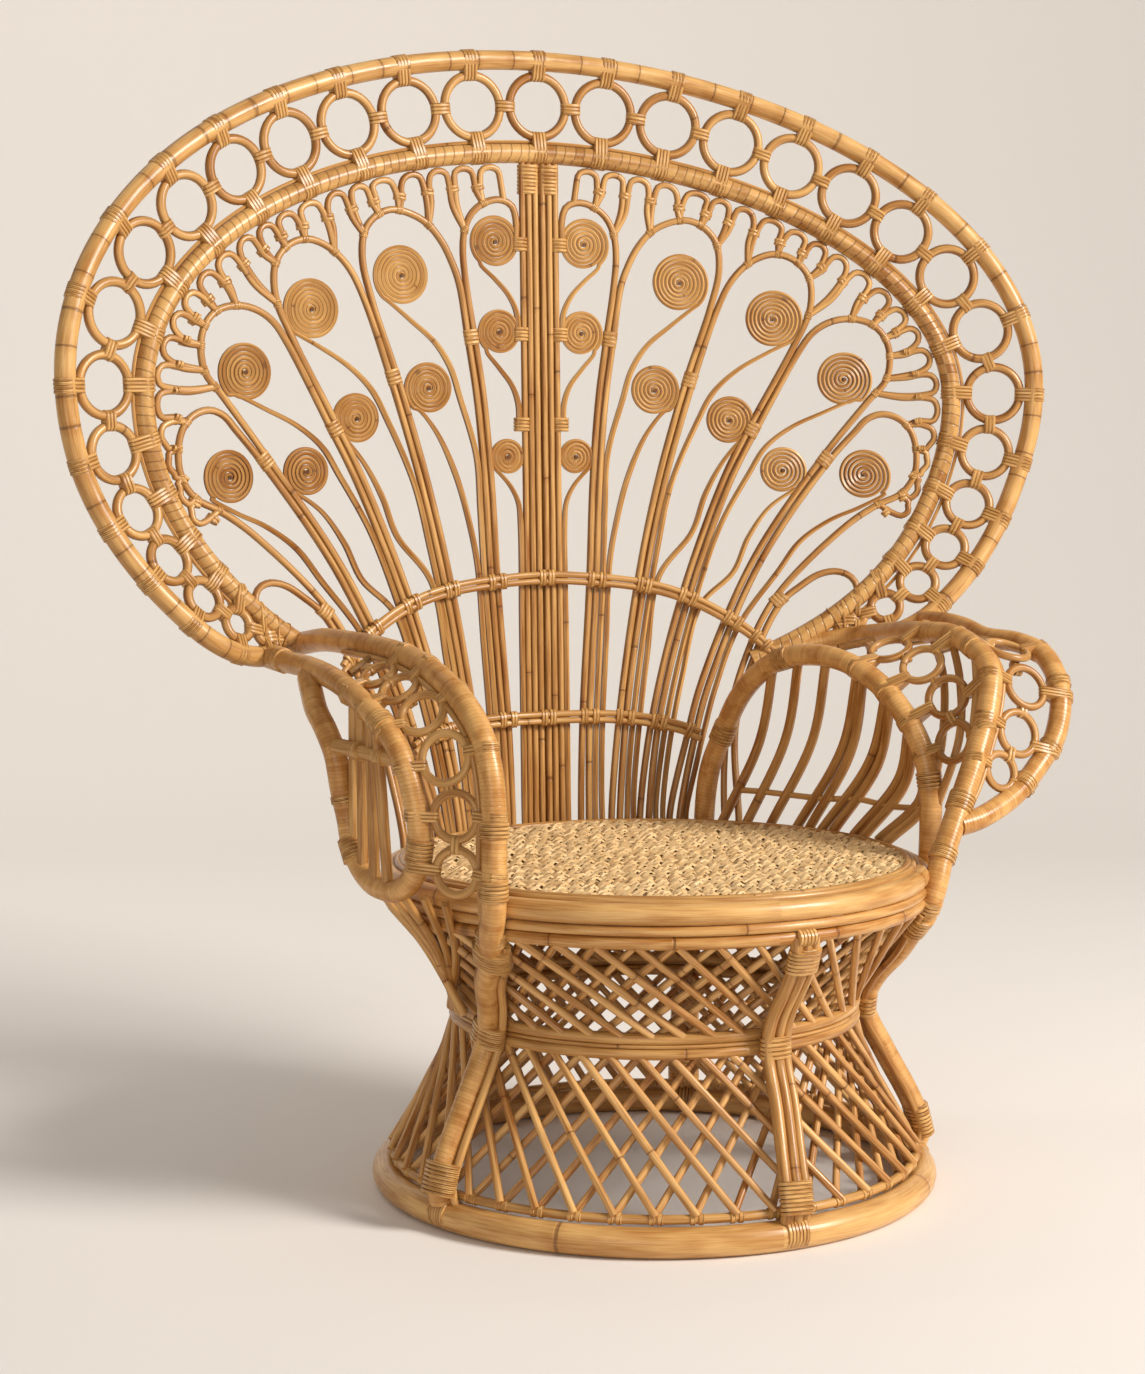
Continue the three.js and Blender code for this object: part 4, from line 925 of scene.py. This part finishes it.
# Scallops: slim canes looped in a row under the inner hoop, like a lace edge.
# Their stems run down in pairs to the arches, and each pair is bound just under its loops.
SCALLOP_CANE = 4.3
SCALLOP_TOPS = (
    (68, 1242), (105, 1239), (141, 1237), (178, 1229), (219, 1218), (253, 1211), (288, 1203), (325, 1187),
    (357, 1171), (383, 1154), (410, 1136), (436, 1112), (459, 1086), (481, 1060), (498, 1033), (511, 1000),
    (519, 963), (525, 925), (531, 887), (532, 849), (525, 809), (513, 780),
)

def hoop_angle(hoop, x, z):
    """The angle from a fan hoop's top at which a place lies."""
    rise = hoop["up"] if z > hoop["middle"] else hoop["down"]
    return math.degrees(math.atan2(x / hoop["half"], (z - hoop["middle"]) / rise))

scallop_angles = [hoop_angle(INNER_HOOP, x, z) for x, z in SCALLOP_TOPS]
stem_angles = [scallop_angles[0] * 1.5 - scallop_angles[1] * 0.5]
stem_angles += [(a + b) / 2 for a, b in zip(scallop_angles, scallop_angles[1:])]
stem_angles.append(scallop_angles[-1] * 1.5 - scallop_angles[-2] * 0.5)
arch_places = np.array([place for stops in arch_lines for place in smooth(stops, 5)])

def stem_end(angle):
    """How far below the inner hoop a stem meets the first arch, and the place on that arch."""
    for depth in range(24, 200, 2):
        tip = np.array(fan_spot(INNER_HOOP, angle, depth))
        apart = ((arch_places - tip) ** 2).sum(1)
        if apart.min() < 100:
            return depth, Vector(arch_places[int(apart.argmin())])
    return 70, fan_spot(INNER_HOOP, angle, 70)

right_scallops = []
stem_knots = []
for k, angle in enumerate(scallop_angles):
    top = HOOP_POLE + SCALLOP_CANE
    stops = []
    for stem, side in ((stem_angles[k], 1), (stem_angles[k + 1], -1)):
        depth, end = stem_end(stem)
        lean = side * math.degrees(SCALLOP_CANE / INNER_HOOP["half"])
        shoulder = min(top + 17, (top + depth) / 2)
        halfway = fan_spot(INNER_HOOP, stem + lean * 0.8, (depth + shoulder) / 2)
        stops.append([end, halfway, fan_spot(INNER_HOOP, stem + lean, shoulder)])
        if side == -1:
            stem_knots.append((fan_spot(INNER_HOOP, stem, shoulder + 8), end))
    swing = (angle - stem_angles[k]) * 0.62
    quarter = [fan_spot(INNER_HOOP, angle + way * swing, top + 4.5) for way in (-1, 1)]
    crown = fan_spot(INNER_HOOP, angle, top)
    right_scallops.append(smooth([*stops[0], quarter[0], crown, quarter[1], *stops[1][::-1]], 5))
for side, word in SIDES:
    lines = [on_side(line, side) for line in right_scallops]
    fit_canes(f"{word}Scallops", lines, SCALLOP_CANE, fan_cane, "rattan", f"{word.lower()}_scallops")
scallop_bindings = bmesh.new()
for place, tip in stem_knots:
    k = int(np.argmin(((arch_places - np.array(tip)) ** 2).sum(1)))
    near = Vector(arch_places[k])
    along_arch = Vector(arch_places[min(k + 1, len(arch_places) - 1)] - arch_places[max(k - 1, 0)])
    for side in (1, -1):
        bind(scallop_bindings, flip(place, side), flip(tip - place, side), Vector((1, 0, 0.01)), 9, 8.8, 4.8)
        bind(scallop_bindings, flip(near, side), flip(along_arch, side), Vector((0.01, 1, 0)), 9, 5.6, 5.6)
fit("ScallopBindings", scallop_bindings, binding_strip, "wrapped_rattan")

# Bands: two slim canes that cross all the bundles in front, one high and one low,
# and hold them apart. Each bundle is tied to the pair with two or three turns of strip.
BAND_CANE = 4.3
BAND_OUT = 11.5
BAND_LIFT = 4.4
UPPER_BAND = ((0, 708), (60, 705), (134, 696), (188, 681), (239, 655), (275, 629), (300, 604))
LOWER_BAND = ((0, 526), (76, 525), (129, 520), (179, 508), (200, 498.5))
band_bindings = bmesh.new()
for name, node, half in (("UpperBand", "upper_band", UPPER_BAND), ("LowerBand", "lower_band", LOWER_BAND)):
    stops = [(-x, z) for x, z in half[:0:-1]] + list(half)
    lifted = [[on_fan(x, z + lift, BAND_OUT) for x, z in stops] for lift in (-BAND_LIFT, BAND_LIFT)]
    fit_canes(name, [smooth(line, 9) for line in lifted], BAND_CANE, slim_cane, "rattan", node)
    line = smooth([on_fan(x, z, BAND_OUT) for x, z in stops], 4)
    knots = [0]
    for rib in RIBS:
        rib_line = spline([Vector((x, 0, z)) for x, z in rib], 20)
        meeting = min(rib_line, key=lambda p: min(abs(p.x - q.x) + abs(p.z - q.z) for q in line))
        knots += [meeting.x, -meeting.x]
    for x in knots:
        for wanted in (x - 7, x + 7):
            place, direction = spot_on(line, 0, wanted)
            if abs(place.x - wanted) < 4:
                bind(band_bindings, place, direction, UP, 9, 11, 6)
fit("BandBindings", band_bindings, binding_strip, "wrapped_rattan")

# Right arm: a stout inner arch over the seat, a main hoop from the fan down to the right post,
# and an outer bow, all wound with strip. Rings fill the strips between them.
ARM_POLE = 13.8
ARM_HOOP = 14.2
BOW_POLE = 13.4
ARM_RING_CANE = 5
RIGHT_ARCH = (
    (201.6, 277.5, 349.4), (201.6, 277.5, 393), (205, 269, 454), (214, 250, 502), (224, 226, 550),
    (237, 197, 584), (252, 162, 606), (272, 118, 615), (294, 67, 609), (316, 17, 583),
    (331, -18, 548), (342, -42, 507), (347, -53, 465), (347, -55, 410), (345, -54, 350),
)
RIGHT_HOOP = (
    (312, 273, 606), (356, 258, 619), (397, 228, 627), (400, 180, 633), (398, 120, 640), (398, 60, 644),
    (405, 0, 644), (410, -50, 631),
    (410, -85, 607), (392, -110, 561), (359, -135, 504), (332, -150, 459), (306, -165, 417),
    (290, -174, 390), (280, -181, 367), (274, -182, 351), (270, -175.5, 333), (266, -163, 318),
)
RIGHT_BOW = (
    (484, 200, 648), (484, 150, 649), (484, 100, 646), (482, 40, 636), (500, -10, 632), (511, -50, 618),
    (508, -90, 577), (489, -110, 526), (460, -120, 494), (412, -140, 460), (352, -158, 437), (322, -161, 431),
)

def arm_line(stops, step=9):
    """A smooth line through the listed places of an arm."""
    return smooth([Vector(stop) for stop in stops], step)

for name, node, stops, pole, slender in (
    ("RightArmArch", "right_arm_arch", RIGHT_ARCH, ARM_POLE, 0),
    ("RightArmHoop", "right_arm_hoop", RIGHT_HOOP, ARM_HOOP, 90),
    ("RightArmBow", "right_arm_bow", RIGHT_BOW, BOW_POLE, 0),
):
    line = arm_line(stops)
    taper = [min(0.5 + 9 * k / slender / 2, 1) if slender else 1 for k in range(len(line))]
    fit_cane(name, line, pole, wound_pole, "wrapped_rattan", node, roundness=4, slim=taper)

arm_bindings = bmesh.new()

def arm_rings(name, node, pairs, largest, shift, start):
    """Fits rings in the strip between two arm hoops, given as matching places, and binds them."""
    inner_edge = spline([Vector(a) for a, _ in pairs], 40)
    outer_edge = spline([Vector(b) for _, b in pairs], 40)

    def strip(share):
        k = round(share * (len(inner_edge) - 1))
        return inner_edge[k], outer_edge[k]

    rings = ring_chain(strip, ARM_POLE + 1, largest, shift, start)
    piece = bmesh.new()
    for centre, across, on, radius in rings:
        lay_ring(piece, (centre, across, on, radius), ARM_RING_CANE)
        for way, edge in ((1, outer_edge), (-1, inner_edge)):
            place = centre + across * way * (radius - ARM_RING_CANE)
            pole_place = min(edge, key=lambda spot: (spot - place).length)
            if (pole_place - place).length < 40:
                lash(arm_bindings, pole_place, place, on, 12, ARM_HOOP + 1.3, ARM_RING_CANE + 1)
            else:
                lash(arm_bindings, place, place + across * way * 7, on, 10, ARM_RING_CANE + 0.7, 4)
    tie_rings(arm_bindings, rings, ARM_RING_CANE, 10, 0.7)
    fit(name, piece, slim_cane, "rattan", node)

RIGHT_INNER_STRIP = (
    ((268, 128, 615), (397, 95, 641)), ((294, 67, 609), (397, 60, 644)), ((316, 17, 583), (407, -20, 640)),
    ((331, -18, 548), (410, -72, 617)), ((342, -42, 507), (392, -110, 561)),
    ((347, -53, 465), (362, -133, 509)),
)
RIGHT_OUTER_STRIP = (
    ((399, 40, 645), (482, 38, 636)), ((410, -50, 631), (511, -50, 618)), ((410, -85, 607), (508, -90, 577)),
    ((392, -110, 561), (489, -110, 526)), ((370, -128, 522), (450, -125, 486)),
    ((345, -145, 480), (420, -137, 463)),
)
arm_rings("RightArmInnerRings", "right_arm_inner_rings", RIGHT_INNER_STRIP, 29.5, -1.4, 0.02)
arm_rings("RightArmOuterRings", "right_arm_outer_rings", RIGHT_OUTER_STRIP, 31.5, -0.8, 0.05)

# Sticks: three slim canes behind those rings, from under the main hoop down to the arch's foot.
# They are tied in at the top and keep the strip from racking.
STICK_CANE = 5.2
STICKS = (
    ((399, 30, 636), (388, -14, 592), (364, -52, 520), (348, -54, 448)),
    ((404, -8, 634), (394, -42, 592), (371, -80, 525), (348, -56, 420)),
    ((409, -52, 626), (396, -78, 585), (374, -104, 525), (339, -146, 470)),
)
fit_canes("RightArmSticks", [arm_line(stops) for stops in STICKS], STICK_CANE, slim_cane, "rattan")

# Spokes: slim curved canes that hang from the right arch to the seat's rim, tied by a low bar.
# They close the side of the arm like a basket.
SPOKE_CANE = 6.6
SPOKE_TWIN = (0.013, -3.4)
BAR_CANE = 4
BAR_RISE = 40
SPOKES = ((0.4, 139), (0.46, 133), (0.52, 127), (0.59, 120), (0.66, 113), (0.73, 103), (0.8, 94))
arch_path = even(spline([Vector(stop) for stop in RIGHT_ARCH], 40), 1)
spokes = bmesh.new()
bar = []
for number, (share, angle) in enumerate(SPOKES):
    for twin in range(2 if number > 2 else 1):
        head = arch_path[round((share + twin * SPOKE_TWIN[0]) * (len(arch_path) - 1))]
        foot = on_drum(RIM_RADIUS + 5, angle + twin * SPOKE_TWIN[1], SEAT_TOP - 2)
        bulge = on_drum(22, angle - 30, 0) + head.lerp(foot, 0.5)
        spoke = smooth([head, bulge, foot], 8)
        lay_cane(spokes, spoke, SPOKE_CANE)
    bar.append(min(spoke, key=lambda place: abs(place.z - SEAT_TOP - BAR_RISE)))
lay_cane(spokes, smooth(bar, 8), BAR_CANE)
fit("RightArmSpokes", spokes, slim_cane, "rattan", "right_arm_spokes")

# Left arm: a hoop from the inner fan hoop down to the left post, and outside it a closed loop
# that starts at the outer fan hoop. Rings fill the strip between them.
LEFT_HOOP = (
    (-354, 262, 638), (-347, 200, 646), (-338, 140, 647), (-323, 60, 645), (-311, -10, 638), (-301, -80, 621),
    (-292, -135, 595), (-285, -165, 565), (-281, -181, 528), (-280, -189, 485), (-281, -192, 442),
    (-282, -193, 400), (-281, -190, 374), (-280, -181, 352), (-276, -169, 333), (-270, -157, 318),
)
LEFT_LOOP = (
    (-404, 232, 626), (-396, 170, 622), (-389, 120, 620), (-382, 30, 609), (-376, -40, 590),
    (-364, -91, 561), (-354, -113, 529), (-347, -123, 491), (-343, -128, 447), (-346, -122, 412),
    (-356, -101, 390), (-369, -62, 388), (-377, -30, 403), (-381, -10, 425), (-383, 0, 456),
    (-390, 2, 490), (-396, 5, 530), (-402, 22, 558), (-404, 48, 576), (-400, 80, 596), (-394, 110, 610),
)
for name, node, stops, pole in (
    ("LeftArmHoop", "left_arm_hoop", LEFT_HOOP, ARM_HOOP),
    ("LeftArmLoop", "left_arm_loop", LEFT_LOOP, BOW_POLE),
):
    fit_cane(name, arm_line(stops), pole, wound_pole, "wrapped_rattan", node, roundness=4)
LEFT_STRIP = (
    ((-335, 118, 646), (-388, 100, 618)), ((-315, 10, 641), (-379, -5, 600)),
    ((-298, -95, 615), (-369, -69, 575)), ((-284, -166, 562), (-358, -104, 542)),
    ((-280, -187, 500), (-348, -122, 498)), ((-281, -191, 440), (-343, -128, 446)),
    ((-282, -193, 404), (-343, -128, 414)),
)
arm_rings("LeftArmRings", "left_arm_rings", LEFT_STRIP, 32.5, 0, 0.1)

# Grid: a stout crossbar and four uprights of slim cane, tied into the left loop.
# The bar is bound with strip at two places along it.
LEFT_GRID = (
    ((-397, 0, 541), (-356, -107, 534), 9.4),
    ((-380, -14, 600), (-381, -14, 412), 6.4),
    ((-378, -34, 593), (-378, -36, 400), 6.4),
    ((-375, -56, 582), (-373, -62, 392), 6.4),
    ((-373, -72, 572), (-365, -84, 390), 6.4),
)
grid = bmesh.new()
for first, second, thickness in LEFT_GRID:
    lay_cane(grid, even([Vector(first), Vector(second)], 14), thickness)
fit("LeftArmGrid", grid, slim_cane, "rattan", "left_arm_grid")

# Stays: slim canes on each side that gather from under the arm towards one place above the waist.
# They carry the arm down to the waist hoops, side by side.
STAY_CANE = 5
LEFT_STAYS = (
    (-322, -150, 380), (-338, -125, 384), (-356, -98, 388), (-364, -80, 388), (-370, -58, 388),
    (-377, -28, 402),
)
RIGHT_STAYS = ((346, -56, 352), (352, -38, 352), (350, -20, 352), (349, 0, 352), (344, 20, 352))
for name, node, heads, knot in (
    ("LeftArmStays", "left_arm_stays", LEFT_STAYS, (-262, -32, 232)),
    ("RightArmStays", "right_arm_stays", RIGHT_STAYS, (262, -26, 232)),
):
    stays = []
    for k, head in enumerate(heads):
        tail = Vector(knot) + Vector((0, (k - len(heads) / 2) * -9, 0))
        middle = Vector(head).lerp(tail, 0.5)
        bent = Vector((middle.x * 0.965, middle.y * 0.965, middle.z))
        stays.append(smooth([Vector(head), bent, tail], 12))
    fit_canes(name, stays, STAY_CANE, slim_cane, "rattan", node)

# Arm trims: a slim cane laid along each main arm hoop on the side of its rings, down to the post.
# It covers the ends of the winding and gives the rings something to be tied to.
TRIM_CANE = 3.6
trims = []
for pairs, end in ((LEFT_STRIP, (-289, -180, 350)), (RIGHT_OUTER_STRIP, (322, -162, 424))):
    beside_hoop = []
    for hoop_place, other_place in pairs:
        towards = (Vector(other_place) - Vector(hoop_place)).normalized()
        beside_hoop.append(Vector(hoop_place) + towards * (ARM_HOOP + TRIM_CANE))
    trims.append(smooth([*beside_hoop, Vector(end)], 9))
fit_canes("ArmTrims", trims, TRIM_CANE, slim_cane, "rattan")

# Arm bindings: turns of strip where the arm hoops meet the posts, the fan and each other.
# They are wound wet over a hidden tack and shrink tight as they dry.
ARM_KNOTS = (
    (RIGHT_HOOP[8:], 398, 18, 16.4), (RIGHT_HOOP[8:], 458, 23, 16.4), (RIGHT_ARCH[8:], 472, 23, 16),
    (RIGHT_ARCH[:5], 505, 27, 16), (RIGHT_ARCH[5:8], 608, 23, 15.6), (RIGHT_BOW[4:], 585, 14, 15.2),
    (RIGHT_BOW[4:], 512, 14, 15.2), (RIGHT_BOW[8:], 470, 18, 15.4), (LEFT_HOOP[8:], 398, 23, 16.6),
    (LEFT_HOOP[8:], 462, 18, 16.4), (LEFT_LOOP[:3], 624, 32, 15.6), (LEFT_LOOP[3:7], 572, 18, 15.2),
    (LEFT_LOOP[5:10], 436, 27, 15.8), (LEFT_LOOP[11:16], 424, 27, 15.6), (LEFT_LOOP[14:18], 480, 9, 15),
    (LEFT_GRID[0][:2], 538.6, 14, 11.2), (LEFT_GRID[0][:2], 536.2, 14, 11.2),
)
for stops, z, length, thick in ARM_KNOTS:
    place, direction = spot_on(arm_line(stops, 5), 2, z)
    bind(arm_bindings, place, direction, Vector((1, 0.3, 0.2)), length, thick, thick)
fit("ArmBindings", arm_bindings, binding_strip, "wrapped_rattan")

# Studio: a pale seamless sweep, a key from the upper right, a soft fill and a lamp on the sweep.
# None of it belongs to the chair. The camera stands where the photo's did.
SWEEP_TURN = math.radians(-23.2)

def only(made, kind):
    """The vertices, or the edges, among what an operator made."""
    return [item for item in made if isinstance(item, kind)]

paper = bpy.data.materials.new("studio paper")
paper.use_nodes = True
paper_shader = paper.node_tree.nodes["Principled BSDF"]
paper_shader.inputs["Base Color"].default_value = (0.86, 0.82, 0.78, 1)
paper_shader.inputs["Roughness"].default_value = 0.9
sweep = bmesh.new()
front = [sweep.verts.new((x, -6, 0)) for x in (-9, 9)]
front_edge = sweep.edges.new(front)
floor_part = bmesh.ops.extrude_edge_only(sweep, edges=[front_edge])
back_verts = only(floor_part["geom"], bmesh.types.BMVert)
back_edge = only(floor_part["geom"], bmesh.types.BMEdge)
bmesh.ops.translate(sweep, verts=back_verts, vec=(0, 8.6, 0))
curve_part = bmesh.ops.spin(
    sweep, geom=back_verts + back_edge, cent=(0, 2.6, 2.2), axis=(1, 0, 0), angle=math.pi / 2, steps=24
)
wall_edge = only(curve_part["geom_last"], bmesh.types.BMEdge)
wall_part = bmesh.ops.extrude_edge_only(sweep, edges=wall_edge)
wall_verts = only(wall_part["geom"], bmesh.types.BMVert)
bmesh.ops.translate(sweep, verts=wall_verts, vec=(0, 0, 6))
bmesh.ops.rotate(sweep, verts=sweep.verts, cent=(0, 0, 0), matrix=Matrix.Rotation(SWEEP_TURN, 3, "Z"))
bmesh.ops.recalc_face_normals(sweep, faces=sweep.faces)
sweep_mesh = bpy.data.meshes.new("Sweep")
sweep.to_mesh(sweep_mesh)
sweep.free()
sweep_mesh.shade_smooth()
sweep_mesh.materials.append(paper)
sweep_object = bpy.data.objects.new("Sweep", sweep_mesh)
bpy.context.scene.collection.objects.link(sweep_object)

LAMPS = (
    ("KeyLight", (3.5, -4.0, 3.5), (0, 0, 0.6), 1.9, 212.0, 125, (1.0, 0.96, 0.91)),
    ("FillLight", (-2.6, -3.6, 1.3), (0, 0, 0.5), 2.0, 30.0, 180, (1.0, 0.97, 0.93)),
    ("BackdropLight", (-1.6, 1.6, 3.6), (-1.0, 4.8, 1.6), 2.0, 54.0, 180, (1.0, 0.965, 0.91)),
)
for name, place, aim, size, power, spread, colour in LAMPS:
    lamp = bpy.data.lights.new(name, "AREA")
    lamp.size = size
    lamp.energy = power
    lamp.spread = math.radians(spread)
    lamp.color = colour
    lamp_object = bpy.data.objects.new(name, lamp)
    lamp_object.location = place
    lamp_object.rotation_euler = (Vector(aim) - Vector(place)).to_track_quat("-Z", "Y").to_euler()
    bpy.context.scene.collection.objects.link(lamp_object)
world = bpy.data.worlds.new("studio")
bpy.context.scene.world = world
world.use_nodes = True
world.node_tree.nodes["Background"].inputs["Color"].default_value = (1.0, 0.94, 0.86, 1)
world.node_tree.nodes["Background"].inputs["Strength"].default_value = 0.3
bpy.context.scene.view_settings.view_transform = "Standard"

camera = bpy.data.cameras.new("Camera")
camera.lens = 68.97
camera.sensor_width = 36
camera_object = bpy.data.objects.new("Camera", camera)
camera_object.location = (-1.31474, -2.81947 + DRUM_AXIS, 0.87453)
sight = Vector((0.39230, 0.91539, -0.09006))
camera_object.rotation_euler = sight.to_track_quat("-Z", "Y").to_euler()
bpy.context.scene.collection.objects.link(camera_object)
bpy.context.scene.camera = camera_object
